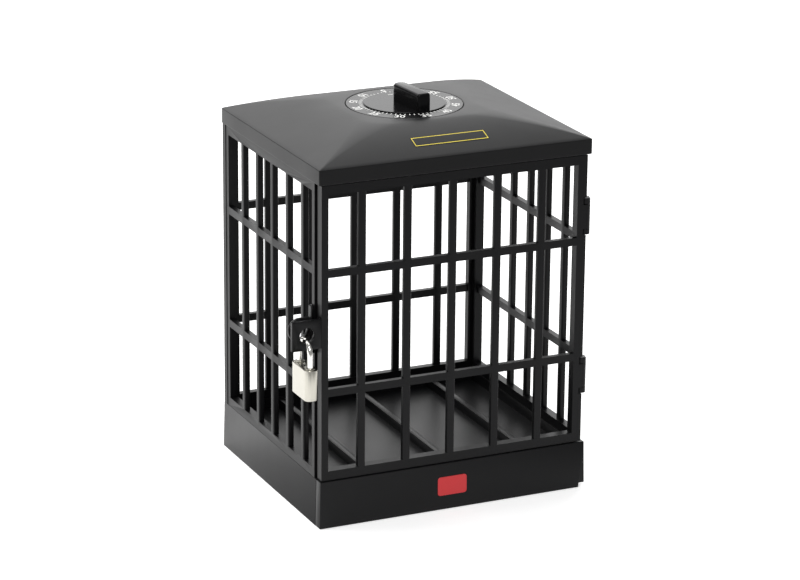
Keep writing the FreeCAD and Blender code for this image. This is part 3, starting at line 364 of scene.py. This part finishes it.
# Grilles: each is made with X across, Y in from the outer face and Z up, then turned to its side
hinge = {  # shared by the right grille and the door
    "axisX": 75.9, "axisY": -63.6, "barrel": 2.4, "bore": 1.16, "fixed": 2.8, "moving": 13.2, "gap": 0.3,
    "starts": (53.2, 141.7), "webWide": 2.1, "webBack": -58.6, "reach": 2.6, "head": 0.8, "sides": 40,
    "boreLow": 20.0, "boreHigh": 190.0, "cutFront": -1.0, "cutBack": 7.0, "cutSide": 78.0,
}
cageSides = {"outerX": 76.8, "stileX": 76.0, "outerY": 66.0, "soften": 0.32, "clear": 1.0, "clearEnd": 3.0}
shared = {
    "edge": 5.0, "railLow": 74.1, "railHigh": 138.4, "railHeight": 4.2, "barRound": 0.6, "sink": 1.0,
    "tabSpread": 66.0, "tabLength": 8.0, "tabThick": 1.4, "tabHeight": 1.5,
}
sideGrille = {**shared, "low": 25.7, "high": 185.6, "thick": 4.6, "barWide": 3.8, "barPitch": 20.3,
              "barThick": 3.2}
broadGrille = {**shared, "barWide": 4.2, "barPitch": 25.6, "barThick": 2.8}
grilles = {
    "leftGrille": {**sideGrille, "left": -62.2, "right": 60.5, "stileLeft": 3.8, "stileRight": 5.2,
                   "barCentre": 1.8},
    "rightGrille": {**sideGrille, "left": -60.5, "right": 62.2, "stileLeft": 2.2, "stileRight": 3.8,
                    "barCentre": -1.8},
    "backGrille": {**broadGrille, "left": -77.1, "right": 77.1, "stileLeft": 7.5, "stileRight": 7.5,
                   "low": 25.7, "high": 185.6, "thick": 3.8, "barCentre": 0.0},
    "doorGrille": {**broadGrille, "left": -76.0, "right": 75.2, "stileLeft": 3.8, "stileRight": 5.4,
                   "low": 26.1, "high": 185.2, "thick": 5.2, "barCentre": -2.1},
}
rebate = {"from": 58.6, "to": 61.5, "deep": 1.6}  # the step where a side grille meets the door
barCount, barSteps = 5, 4


def barsForm(plan, read, low, high):  # bars with rounded edges, side by side
    count, deep = read["barCount"], read["barThick"]
    first = read["barCentre"] - read["barPitch"] * (count - 1) * 0.5
    spots = plan.add("GeometryNodeMeshLine", None,
                     {"Count": count, "Start Location": triple(plan, first, deep * 0.5, low),
                      "Offset": triple(plan, read["barPitch"], 0.0, 0.0)})
    section = plan.add("GeometryNodeCurvePrimitiveQuadrilateral", None,
                       {"Width": read["barWide"], "Height": deep})
    section = plan.add("GeometryNodeFilletCurve", {"mode": "POLY"},
                       {"Curve": section, "Radius": read["barRound"], "Count": barSteps})
    spine = plan.add("GeometryNodeCurvePrimitiveLine", None, {"End": triple(plan, 0.0, 0.0, high - low)})
    bar = plan.add("GeometryNodeCurveToMesh", None,
                   {"Curve": spine, "Profile Curve": section, "Fill Caps": True})
    return plan.add("GeometryNodeRealizeInstances", None, {"Geometry": copies(plan, spots, bar)})


def tabsForm(plan, read):  # the tabs that stand in the plinth and in the ceiling
    half, inner = read["tabLength"] * 0.5, read["thick"] - read["tabThick"]
    tabs = []
    for side in (-0.5, 0.5):
        centre = read["tabSpread"] * side
        for foot in (read["low"] - read["tabHeight"], read["high"] - read["sink"]):
            tabs.append(slab(plan, (centre - half, inner, foot),
                             (centre + half, read["thick"], foot + read["tabHeight"] + read["sink"])))
    return tabs


def grilleForm(plan, read, tabs, hinges, steps):
    left, right, low, high, thick = (read[name] for name in ("left", "right", "low", "high", "thick"))
    edge, halfRail = read["edge"], read["railHeight"] * 0.5
    outer = slab(plan, (left, 0.0, low), (right, thick, high))
    window = slab(plan, (left + read["stileLeft"], -1 * thick, low + edge),
                  (right - read["stileRight"], 2 * thick, high - edge))
    parts = [minus(plan, outer, window), barsForm(plan, read, low + edge * 0.5, high - edge * 0.5)]
    parts += [slab(plan, (left + read["stileLeft"] * 0.5, 0.0, read[level] - halfRail),
                   (right - read["stileRight"] * 0.5, read["barThick"], read[level] + halfRail))
              for level in ("railLow", "railHigh")]
    if tabs:
        parts += tabsForm(plan, read)
    whole = united(plan, parts)
    over, overEnd = cageSides["clear"] * mm, cageSides["clearEnd"] * mm
    for start, end in steps:
        whole = minus(plan, whole, [slab(plan, (start * mm, -over, low - overEnd),
                                         (end * mm, rebate["deep"] * mm, high + overEnd))])
    cuts, barrels, bores = hinges(plan) if hinges else ([], [], [])
    for part in cuts:
        whole = minus(plan, whole, [part])
    if barrels:
        whole = minus(plan, united(plan, [whole] + barrels), bores)
    return whole


def barrelOf(plan, radius, low, high, x, y):
    upright = tube(plan, hinge["sides"], radius * mm, (high - low) * mm)
    return moved(plan, upright, x * mm, y * mm, (low + high) * 0.5 * mm)


def doorHinges(plan):  # gaps for the cabinet's knuckles, and the door's own knuckles
    x, y = hinge["axisX"], hinge["axisY"] + cageSides["outerY"]
    fixed, moving, gap = hinge["fixed"], hinge["moving"], hinge["gap"]
    cuts, barrels = [], []
    for start in hinge["starts"]:
        above = start + fixed + moving + gap
        for low, high in ((start - gap, start + fixed + gap),
                          (above, above + fixed + 2 * gap + hinge["head"])):
            cuts.append(slabOf(plan, (x - hinge["reach"], hinge["cutFront"], low),
                               (hinge["cutSide"], hinge["cutBack"], high)))
        low = start + fixed + gap
        barrels.append(barrelOf(plan, hinge["barrel"], low, low + moving, x, y))
    return cuts, barrels, [barrelOf(plan, hinge["bore"], hinge["boreLow"], hinge["boreHigh"], x, y)]


def fixedHinges(plan):  # the cabinet's knuckles, with a web from each to the grille
    x, y = hinge["axisY"], cageSides["outerX"] - hinge["axisX"]
    near, far = cageSides["outerX"] - cageSides["stileX"], y + hinge["webWide"]
    barrels = []
    for start in hinge["starts"]:
        for low in (start, start + hinge["fixed"] + hinge["moving"] + 2 * hinge["gap"]):
            high = low + hinge["fixed"]
            barrels.append(slabOf(plan, (x, near, low), (hinge["webBack"], far, high)))
            barrels.append(barrelOf(plan, hinge["barrel"], low, high, x, y))
    return [], barrels, [barrelOf(plan, hinge["bore"], hinge["boreLow"], hinge["boreHigh"], x, y)]


def grille(name, node, body, degrees, x, y, tabs=True, hinges=None, steps=()):
    mesh = grown(name + "Form", grilles[name], {"barCount": barCount},
                 lambda plan, read: grilleForm(plan, read, tabs, hinges, steps), "cageBlack")
    mesh = rounded(welded(mesh, weld["grown"], name), cageSides["soften"])
    mesh.transform(Matrix.Translation((x * mm, y * mm, 0.0)) @ Matrix.Rotation(math.radians(degrees), 4, "Z"))
    return keep(mesh, name, "cageBlack", body, (node,))


grille("leftGrille", "left_grille", "cabinet", -90, -cageSides["outerX"], 0,
       steps=((rebate["from"], rebate["to"]),))
grille("rightGrille", "right_grille", "cabinet", 90, cageSides["outerX"], 0,
       hinges=fixedHinges, steps=((-rebate["to"], -rebate["from"]),))
grille("backGrille", "back_grille", "cabinet", 180, 0, cageSides["outerY"])
grille("doorGrille", "door_grille", "door", 0, 0, -cageSides["outerY"], tabs=False, hinges=doorHinges)
print("grilles made")

# Roof: rings from the skirt up to the dial, then back down inside
roof = {
    "halfX": 77.5, "halfY": 66.5, "base": 185.6, "eaves": 193.8, "rise": 10.9, "crown": 33.5, "swell": 1.32,
    "wall": 2.2, "hole": 31.4, "holeEdge": 0.3, "ridgeLow": 0.7, "ridgeHigh": 15.0, "ridgeCurve": 1.6,
    "lip": 0.35, "lipIn": 0.3, "lipFall": 0.25, "lipHold": 1.5, "footRound": 0.5, "lipRound": 0.7,
    "skirtRound": 0.8, "firstStep": 0.02, "steps": 16, "corner": 8, "side": 6, "sharp": 24.0,
}


def cornerSpot(halfX, halfY, corner, side, degrees, z):
    turn = math.radians(degrees)
    return Vector(((halfX - corner) * side[0] + corner * math.cos(turn),
                   (halfY - corner) * side[1] + corner * math.sin(turn), z))


def roofRing(halfX, halfY, corner, z):  # the same number of points whatever the corner's radius
    sides = ((1, -1), (1, 1), (-1, 1), (-1, -1))
    points = []
    for k, side in enumerate(sides):
        points += [cornerSpot(halfX, halfY, corner, side, 90 * (k - 1 + i / roof["corner"]), z)
                   for i in range(roof["corner"] + 1)]
        start, end = points[-1], cornerSpot(halfX, halfY, corner, sides[(k + 1) % 4], 90 * k, z)
        points += [start.lerp(end, (i + 1) / (roof["side"] + 1)) for i in range(roof["side"])]
    return points


def roofHeight(t, drop=0.0):  # t runs from 0 at the eaves to 1 at the crown
    return roof["eaves"] + roof["rise"] * (1 - (1 - t) ** roof["swell"]) - drop


def roofSlopes(inset, first=0.0):  # one skin of the slopes, from the eaves to the crown
    rings = []
    for i in range(roof["steps"] + 1):
        t = max(i / roof["steps"], first)
        corner = roof["ridgeLow"] + (roof["ridgeHigh"] - roof["ridgeLow"]) * t ** roof["ridgeCurve"]
        halfX, halfY = (roof[half] * (1 - t) + roof["crown"] * t - inset for half in ("halfX", "halfY"))
        rings.append(roofRing(halfX, halfY, corner, roofHeight(t, inset)))
    return rings


def holeRing(ring, radius, z):  # a ring's points drawn in to a circle
    return [Vector((p.x, p.y, 0)).normalized() * radius + Vector((0, 0, z)) for p in ring]


def roofShell():
    x, y, lip, base, eaves, wall = (roof[name] for name in ("halfX", "halfY", "lip", "base", "eaves", "wall"))
    hole, edge, top = roof["hole"], roof["holeEdge"], roofHeight(1.0)
    nip, fall, hold = (lip * roof[name] for name in ("lipIn", "lipFall", "lipHold"))
    rings = [roofRing(x - lip, y - lip, roof["footRound"], base),
             roofRing(x - nip, y - nip, roof["lipRound"], base + nip)]
    rings += [roofRing(x, y, roof["skirtRound"], z)
              for z in (base + lip, base + hold, eaves - hold, eaves - lip)]
    rings.append(roofRing(x - nip, y - nip, roof["lipRound"], eaves - fall))
    outside, inside = roofSlopes(0.0, roof["firstStep"]), roofSlopes(wall)
    outside += [holeRing(outside[-1], hole + edge, top), holeRing(outside[-1], hole, top - edge)]
    inside.append(holeRing(inside[-1], hole, top - wall))
    rings += outside + inside[::-1]
    rings.append(roofRing(x - wall, y - wall, roof["footRound"], base))
    return softShaded(fromBmesh(skinned(rings, looped=True), "roofShell"), roof["sharp"])


keep(roofShell(), "roofShell", "roofBlack", "cabinet", ("roof_shell",))
print("roof made")

# Housings that keep the CAD's own form and get softened edges
soften = {  # node: (width, steps, finish, body, slot)
    "plinth_tray": (0.3, 2, "cageBlack", "cabinet", "black_plastic"),
    "plinth_front": (0.3, 2, "cageBlack", "cabinet", "black_plastic"),
    "base_plate": (0.2, 2, "cageBlack", "cabinet", "black_plastic"),
    "roof_ceiling": (0.2, 2, "cageBlack", "cabinet", "black_plastic"),
    "door_hasp": (0.35, 2, "cageBlack", "door", "black_plastic"),
    "lock_keeper": (0.3, 2, "cageBlack", "cabinet", "black_plastic"),
    "padlock_body": (0.45, 3, "nickel", "lock_case", "nickel_brass"),
}
for node, (width, steps, material, body, slot) in soften.items():
    whole = welded(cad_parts[node].data, weld["copy"], node + "_copy")
    keep(rounded(whole, width, steps), node + "_soft", material, body, (node,))
print("housings made")

# Dial, hub and grip
dial = {
    "top": 204.7, "thick": 1.8, "radius": 31.0, "bore": 4.45, "edge": 0.28, "nip": (0.08, 0.08),
    "footEdge": 0.2, "boreEdge": 0.2, "inner": 0.4, "hub": 21.8, "step": 0.6, "seam": 0.02, "hubEdge": 0.22,
    "hubNip": (0.06, 0.07), "hubInner": 0.34, "boss": 4.4, "bossLow": 201.5, "sides": 144, "sharp": 30.0,
}
fin = {
    "front": 21.0, "back": 3.7, "wide": 8.0, "high": 9.3, "round": 1.6, "crest": 1.5, "turn": 5.0,
    "frontSteps": 8, "backSteps": 28, "crestSteps": 6, "sharp": 40.0,
}


def dialRing():
    top, r, bore, foot = dial["top"], dial["radius"], dial["bore"], dial["footEdge"]
    low, inner, boreEdge = top - dial["thick"], dial["inner"], dial["boreEdge"]
    profile = [(bore, low), (r - foot, low), (r, low + foot)] + rim(r, top, dial["edge"], dial["nip"])
    profile += [(r - inner, top), (bore + inner, top), (bore + boreEdge, top), (bore, top - boreEdge)]
    return softShaded(fromBmesh(turned(profile, dial["sides"]), "dialRing"), dial["sharp"])


def finRing(inset, z):  # the fin's outline: two rounded corners in front, a half round behind
    half, r = fin["wide"] / 2, fin["round"]
    points = []
    for side, first in ((-1, 180), (1, 270)):
        middle = Vector((side * (half - r), r - fin["front"], z))
        points += [middle + (r - inset) * Vector((math.cos(a), math.sin(a), 0))
                   for a in (math.radians(first + 90 * i / fin["frontSteps"])
                             for i in range(fin["frontSteps"] + 1))]
    points += [Vector((0, fin["back"], z)) + (half - inset) * Vector((math.cos(a), math.sin(a), 0))
               for a in (math.pi * i / fin["backSteps"] for i in range(fin["backSteps"] + 1))]
    return [Matrix.Rotation(math.radians(fin["turn"]), 3, "Z") @ p for p in points]


def gripKnob():
    low, r, seam, boss = dial["top"], dial["hub"], dial["seam"], dial["boss"]
    high = low + dial["step"]
    profile = [(boss, dial["bossLow"]), (boss, low), (r - seam, low), (r, low + seam)]
    profile += rim(r, high, dial["hubEdge"], dial["hubNip"]) + [(r - dial["hubInner"], high)]
    hub = softShaded(fromBmesh(turned(profile, dial["sides"], looped=False), "gripHub"), dial["sharp"])
    crest, steps = fin["crest"], fin["crestSteps"]
    shoulder = high + fin["high"] - crest
    rings = [finRing(0.0, low + dial["step"] / 2)]
    rings += [finRing(crest * (1 - math.cos(a)), shoulder + crest * math.sin(a))
              for a in (math.pi / 2 * i / steps for i in range(steps + 1))]
    grip = softShaded(fromBmesh(skinned(rings), "gripFin"), fin["sharp"])
    holder, other = linked("gripHub", hub), linked("gripFin", grip)
    joint = holder.modifiers.new("join", "BOOLEAN")
    joint.operation, joint.object, joint.solver = "UNION", other, "EXACT"
    mesh = evaluated(holder)
    bpy.data.objects.remove(other)
    return softShaded(mesh, fin["sharp"])


keep(dialRing(), "dialRing", "dialBlack", "timer", ("timer_dial",))
keep(gripKnob(), "gripKnob", "gripBlack", "timer", ("timer_knob",))

# Print on the dial: sixty strokes, twelve plain numbers and a dash behind the fin
ink, strokeCount = 0.03, 60
strokes = {"inner": 22.5, "outer": 24.3, "wide": 0.55, "ink": ink, "level": dial["top"] + ink / 2}
numbers = {"radius": 27.3, "size": 6.0, "bold": 0.09, "count": 12, "stepValue": 5, "zeroAt": 60.0,
           "smooth": 3}
dash = {"x": -0.4, "y": 17.0, "long": 3.0, "wide": 0.7}


def strokeForm(plan, read):
    ring = plan.add("GeometryNodeMeshCircle", None,
                    {"Vertices": read["count"], "Radius": (read["inner"] + read["outer"]) * 0.5})
    stroke = box(plan, read["outer"] - read["inner"], read["wide"], read["ink"])
    turn = plan.add("GeometryNodeInputIndex") * (2 * math.pi) / read["count"]
    around = copies(plan, ring, stroke, triple(plan, 0.0, 0.0, turn))
    return moved(plan, around, 0.0, 0.0, read["level"])


def lettering(text, matrix):
    curve = bpy.data.curves.new("figure", "FONT")
    curve.body, curve.size, curve.extrude = text, numbers["size"] * mm, ink / 2 * mm
    curve.align_x = curve.align_y = "CENTER"
    curve.resolution_u, curve.offset = numbers["smooth"], numbers["bold"] * mm
    mesh = evaluated(linked("figure", curve))
    mesh.transform(matrix)
    return mesh


def dashPrint():
    bm = bmesh.new()
    bmesh.ops.create_cube(bm, size=1.0)
    bmesh.ops.scale(bm, vec=Vector((dash["long"], dash["wide"], ink)) * mm, verts=bm.verts)
    level = dial["top"] + dial["step"] + ink / 2
    bmesh.ops.translate(bm, vec=Vector((dash["x"], dash["y"], level)) * mm, verts=bm.verts)
    return fromBmesh(bm, "dash")


def dialPrint():
    meshes = [grown("dialStrokes", strokes, {"count": strokeCount}, strokeForm, "printWhite")]
    for k in range(numbers["count"]):
        degrees = numbers["zeroAt"] + 360 / numbers["count"] * k
        outward = Vector((numbers["radius"], 0, strokes["level"]))
        spot = Matrix.Rotation(math.radians(degrees), 3, "Z") @ outward
        place = Matrix.Translation(spot * mm) @ Matrix.Rotation(math.radians(degrees + 90), 4, "Z")
        meshes.append(lettering(str(numbers["stepValue"] * k), place))
    meshes.append(dashPrint())
    return merged(meshes, "dialPrint")


keep(dialPrint(), "dialPrint", "printWhite", "timer")
print("dial made")

# Padlock: bow and collars; the case is among the housings above
padlock = {
    "x": -84.9, "heelY": -58.5, "toeY": -72.1, "radius": 1.4, "bowZ": 97.97, "top": 91.07, "heelDeep": 12.0,
    "toeDeep": 4.5, "edge": 0.25, "sides": 24, "bends": 36, "sharp": 35.0,
}
collar = {"radius": 2.4, "high": 0.6, "bore": 1.46, "edge": 0.25, "nip": (0.08, 0.08), "boreEdge": 0.15,
          "sides": 48, "sharp": 32.0}


def shackleBow():
    heelY, toeY, bow, r, edge = (padlock[name] for name in ("heelY", "toeY", "bowZ", "radius", "edge"))
    middle, half = (heelY + toeY) / 2, (heelY - toeY) / 2
    heelZ, toeZ = padlock["top"] - padlock["heelDeep"], padlock["top"] - padlock["toeDeep"]
    stops = [(heelY, heelZ, 0.0, r - edge), (heelY, heelZ + edge, 0.0, r)]
    for i in range(padlock["bends"] + 1):
        turn = math.pi * i / padlock["bends"]
        stops.append((middle + half * math.cos(turn), bow + half * math.sin(turn), turn, r))
    stops += [(toeY, toeZ + edge, math.pi, r), (toeY, toeZ, math.pi, r - edge)]
    around = [2 * math.pi * i / padlock["sides"] for i in range(padlock["sides"])]
    rings = [[Vector((padlock["x"] + radius * math.sin(b), y + radius * math.cos(b) * math.cos(turn),
                      z + radius * math.cos(b) * math.sin(turn))) for b in around]
             for y, z, turn, radius in stops]
    return softShaded(fromBmesh(skinned(rings), "shackleBow"), padlock["sharp"])


def collars():
    bore, boreEdge, radius, low = collar["bore"], collar["boreEdge"], collar["radius"], padlock["top"]
    high = low + collar["high"]
    profile = [(bore, low), (radius, low)] + rim(radius, high, collar["edge"], collar["nip"])
    profile += [(bore + boreEdge, high), (bore, high - boreEdge)]
    meshes = [fromBmesh(turned(profile, collar["sides"], padlock["x"], y), "collar")
              for y in (padlock["heelY"], padlock["toeY"])]
    return softShaded(merged(meshes, "legCollars"), collar["sharp"])


keep(shackleBow(), "shackleBow", "shackleSteel", "shackle", ("padlock_shackle",))
keep(collars(), "legCollars", "nickel", "lock_case", ("padlock_collars",))
print("padlock made")

# Screws: pan heads with a cross recess, in fours
screw = {"head": 2.6, "high": 1.3, "shank": 1.3, "long": 9.0, "slotLong": 3.0, "slotWide": 0.62,
         "slotDeep": 0.8}
screwSets = {
    "base_screws": {"halfX": 60.0, "halfY": 48.0, "level": 0.0},
    "roof_screws": {"halfX": 59.0, "halfY": 47.0, "level": 185.6},
}
screwSides = {"head": 40, "shank": 24}
screwEdge = {"width": 0.16, "steps": 2, "angle": 50.0}


def screwForm(plan, read):
    head = tube(plan, screwSides["head"], read["head"], read["high"])
    head = moved(plan, head, 0.0, 0.0, read["high"] * 0.5)
    shank = tube(plan, screwSides["shank"], read["shank"], read["long"])
    shank = moved(plan, shank, 0.0, 0.0, (read["long"] + read["high"]) * 0.5)
    deep = read["slotDeep"] * 2.0
    cross = united(plan, [box(plan, read["slotLong"], read["slotWide"], deep),
                          box(plan, read["slotWide"], read["slotLong"], deep)])
    one = minus(plan, united(plan, [head, shank]), [cross])
    spots = plan.add("GeometryNodeMeshGrid", None,
                     {"Size X": read["halfX"] * 2.0, "Size Y": read["halfY"] * 2.0, "Vertices X": 2,
                      "Vertices Y": 2})
    return moved(plan, copies(plan, spots, one), 0.0, 0.0, read["level"])


for node, places in screwSets.items():
    mesh = grown(node + "Form", {**screw, **places}, {}, screwForm, "screwSteel")
    mesh = rounded(mesh, screwEdge["width"], screwEdge["steps"], screwEdge["angle"])
    keep(mesh, "crossScrews_" + node[:4], "screwSteel", "cabinet", (node,))
print("screws made")

# Label on the roof and badge on the plinth, both bare
label = {"wide": 42.0, "x": 1.0, "front": -57.3, "back": -49.9, "line": 0.42, "edge": 0.35, "thick": 0.12,
         "sink": 0.05, "lineSink": 0.02, "lineThick": 0.05, "steps": 12}
badge = {"low": (-9.7, 7.9), "high": (7.1, 18.2), "round": 1.6, "thick": 0.25, "sink": 0.1, "bevel": 0.12,
         "frontLow": -67.5, "frontDraft": 0.5, "tall": 25.7, "steps": 8, "sharp": 25.0}


def onSlope(x, y, lift):  # a point on the front slope of the roof
    return Vector((x, y, roofHeight((roof["halfY"] + y) / (roof["halfY"] - roof["crown"])) + lift))


def slopeSheet(x0, x1, y0, y1, lift, thick, name):
    rings = []
    for i in range(label["steps"] + 1):
        y = y0 + (y1 - y0) * i / label["steps"]
        rings.append([onSlope(x0, y, lift), onSlope(x1, y, lift), onSlope(x1, y, lift + thick),
                      onSlope(x0, y, lift + thick)])
    return fromBmesh(skinned(rings), name)


def labelParts():  # a black field and the yellow line just inside its edge
    x0, x1 = label["x"] - label["wide"] / 2, label["x"] + label["wide"] / 2
    y0, y1 = label["front"], label["back"]
    field = slopeSheet(x0, x1, y0, y1, -label["sink"], label["thick"] + label["sink"], "labelField")
    near, far = label["edge"], label["edge"] + label["line"]
    strips = [(x0 + near, x1 - near, y0 + near, y0 + far), (x0 + near, x1 - near, y1 - far, y1 - near),
              (x0 + near, x0 + far, y0 + far, y1 - far), (x1 - far, x1 - near, y0 + far, y1 - far)]
    lift, thick = label["thick"] - label["lineSink"], label["lineThick"]
    return field, merged([slopeSheet(*strip, lift, thick, "line") for strip in strips], "labelLines")


def badgePlate():
    (x0, z0), (x1, z1) = badge["low"], badge["high"]
    r, steps = badge["round"], badge["steps"]
    outline = []
    for k, (x, z) in enumerate(((x1 - r, z1 - r), (x0 + r, z1 - r), (x0 + r, z0 + r), (x1 - r, z0 + r))):
        for i in range(steps + 1):
            a = math.pi / 2 * (k + i / steps)
            outline.append(Vector((x + r * math.cos(a), z + r * math.sin(a))))
    middle = Vector(((x0 + x1) / 2, (z0 + z1) / 2))
    rings = []
    for inset, out in ((0.0, -badge["sink"]), (0.0, badge["thick"] - badge["sink"]),
                       (badge["bevel"], badge["thick"])):
        ring = []
        for point in outline:
            away = point - middle
            x, z = middle + away * (1 - inset / away.length)
            ring.append(Vector((x, badge["frontLow"] + badge["frontDraft"] * z / badge["tall"] - out, z)))
        rings.append(ring)
    return softShaded(fromBmesh(skinned(rings), "badgePlate"), badge["sharp"])


labelField, labelLines = labelParts()
keep(labelField, "labelField", "labelBlack", "cabinet")
keep(labelLines, "labelLines", "labelYellow", "cabinet")
keep(badgePlate(), "badgePlate", "badgeRed", "cabinet")
print("label and badge made")

# Finishes of the nodes that stay as they are
nodesByFinish = {
    "pinSteel": ("hinge_pins",),
    "gearBrass": ("padlock_plug", "main_wheel", "second_wheel", "third_wheel", "escape_wheel",
                  "movement_base", "movement_top"),
    "workSteel": ("timer_spindle", "spindle_clip", "second_pinion", "third_pinion", "escape_pinion",
                  "pallet_lever", "movement_pillars", "mainspring", "spring_post", "bell_post",
                  "bell_hammer"),
    "shackleSteel": ("bell",),
}
for material, nodes in nodesByFinish.items():
    for node in nodes:
        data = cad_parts[node].data
        data.materials.clear()
        data.materials.append(finishes[material])
print("other nodes finished:", sum(len(nodes) for nodes in nodesByFinish.values()))

# Floor, light and camera: lengths are metres, powers are watts
# painted light on the floor: glow is an emission that lifts the floor and hides its shadows; front is a
# darker floor colour, painted shade in front of the object
floor = {"size": 8.0, "drop": 0.0002, "glow": 0.4, "glowEnd": -0.8, "glowFull": -0.2, "front": 0.4,
         "paperDark": 0.86, "paperLight": 0.9, "roughness": 0.7, "cloud": 6.0, "grain": 900.0,
         "grainStrength": 0.03, "grainDepth": 0.0001}
airStrength = 0.3
lamps = {  # name: (power, size, place, aim)
    "overheadBox": (12.0, (1.8, 1.8), (0.0, 0.3, 1.7), (0.0, 0.0, 0.1)),
    "leftBox": (6.5, (0.8, 0.8), (-0.75, 0.55, 0.9), (-0.25, 0.25, 0.0)),
    "backBox": (26.0, (2.6, 1.9), (0.5, 1.55, 1.15), (0.0, 0.0, 0.15)),
    "frontBox": (34.0, (1.0, 1.0), (-0.6, -1.9, 1.9), (0.0, -0.15, 0.0)),
}
shot = {
    "place": (-0.70685, -1.52558, 0.6533), "yaw": 24.81, "pitch": 18.19, "roll": 0.52, "focal": 3292.77,
    "wide": 800.0, "sensor": 36.0, "near": 0.01, "far": 50.0,
}


def grey(value):
    return (value, value, value, 1.0)


def floorSurface(plan, place):  # floor with painted light: a glow behind and around the object that ends in front of it, where a darker floor paints shade
    cloud = noise(plan, place, floor["cloud"])
    depth = plan.add("ShaderNodeSeparateXYZ", None, {"Vector": place}).out("Y")
    # reach masks the painted light: painted shade in front, full painted glow behind
    reach = plan.add("ShaderNodeMapRange", {"interpolation_type": "SMOOTHSTEP"},
                     {"Value": depth, "From Min": floor["glowEnd"], "From Max": floor["glowFull"]})
    paper = blended(plan, cloud, grey(floor["paperDark"]), grey(floor["paperLight"]))
    grain = noise(plan, place, floor["grain"])
    return {"Base Color": blended(plan, reach, grey(floor["front"]), paper), "Roughness": floor["roughness"],
            "Emission Color": blended(plan, reach, grey(0.0), grey(1.0)), "Emission Strength": floor["glow"],
            "Normal": bumped(plan, grain, floor["grainStrength"], floor["grainDepth"])}


def layFloor():
    bm = bmesh.new()
    bmesh.ops.create_grid(bm, x_segments=4, y_segments=4, size=floor["size"] / 2)
    sheet = linked("floor", fromBmesh(bm, "floor"))
    sheet.data.materials.append(finish("floorPaper", floorSurface))
    sheet.location.z = -floor["drop"]


def softLight(name, power, size, place, aim):
    lamp = bpy.data.lights.new(name, "AREA")
    lamp.energy, lamp.shape = power, "RECTANGLE"
    lamp.size, lamp.size_y = size
    holder = linked(name, lamp)
    holder.location = place
    holder.rotation_euler = (Vector(aim) - Vector(place)).to_track_quat("-Z", "Y").to_euler()


def lightAir():
    world = bpy.data.worlds.new("studioAir")
    world.use_nodes = True
    world.node_tree.nodes.clear()
    air = Plan(world.node_tree)
    glow = air.add("ShaderNodeBackground", None, {"Color": grey(1.0), "Strength": airStrength})
    air.add("ShaderNodeOutputWorld", None, {"Surface": glow})
    bpy.context.scene.world = world
    bpy.context.scene.view_settings.view_transform = "Standard"


def takeShot():
    yaw, pitch, roll = (math.radians(shot[name]) for name in ("yaw", "pitch", "roll"))
    ahead = Vector((math.sin(yaw) * math.cos(pitch), math.cos(yaw) * math.cos(pitch), -math.sin(pitch)))
    right = Vector((math.cos(yaw), -math.sin(yaw), 0.0))
    up = right.cross(ahead)
    right, up = right * math.cos(roll) + up * math.sin(roll), up * math.cos(roll) - right * math.sin(roll)
    lens = bpy.data.cameras.new("camera")
    lens.sensor_fit, lens.sensor_width = "HORIZONTAL", shot["sensor"]
    lens.lens = shot["focal"] / shot["wide"] * shot["sensor"]
    lens.clip_start, lens.clip_end = shot["near"], shot["far"]
    camera = linked("camera", lens)
    turn = Matrix((right, up, -ahead)).transposed().to_4x4()
    camera.matrix_world = Matrix.Translation(shot["place"]) @ turn
    bpy.context.scene.camera = camera


layFloor()
for name, (power, size, place, aim) in lamps.items():
    softLight(name, power, size, place, aim)
lightAir()
takeShot()
print("studio made")

bpy.context.view_layer.update()
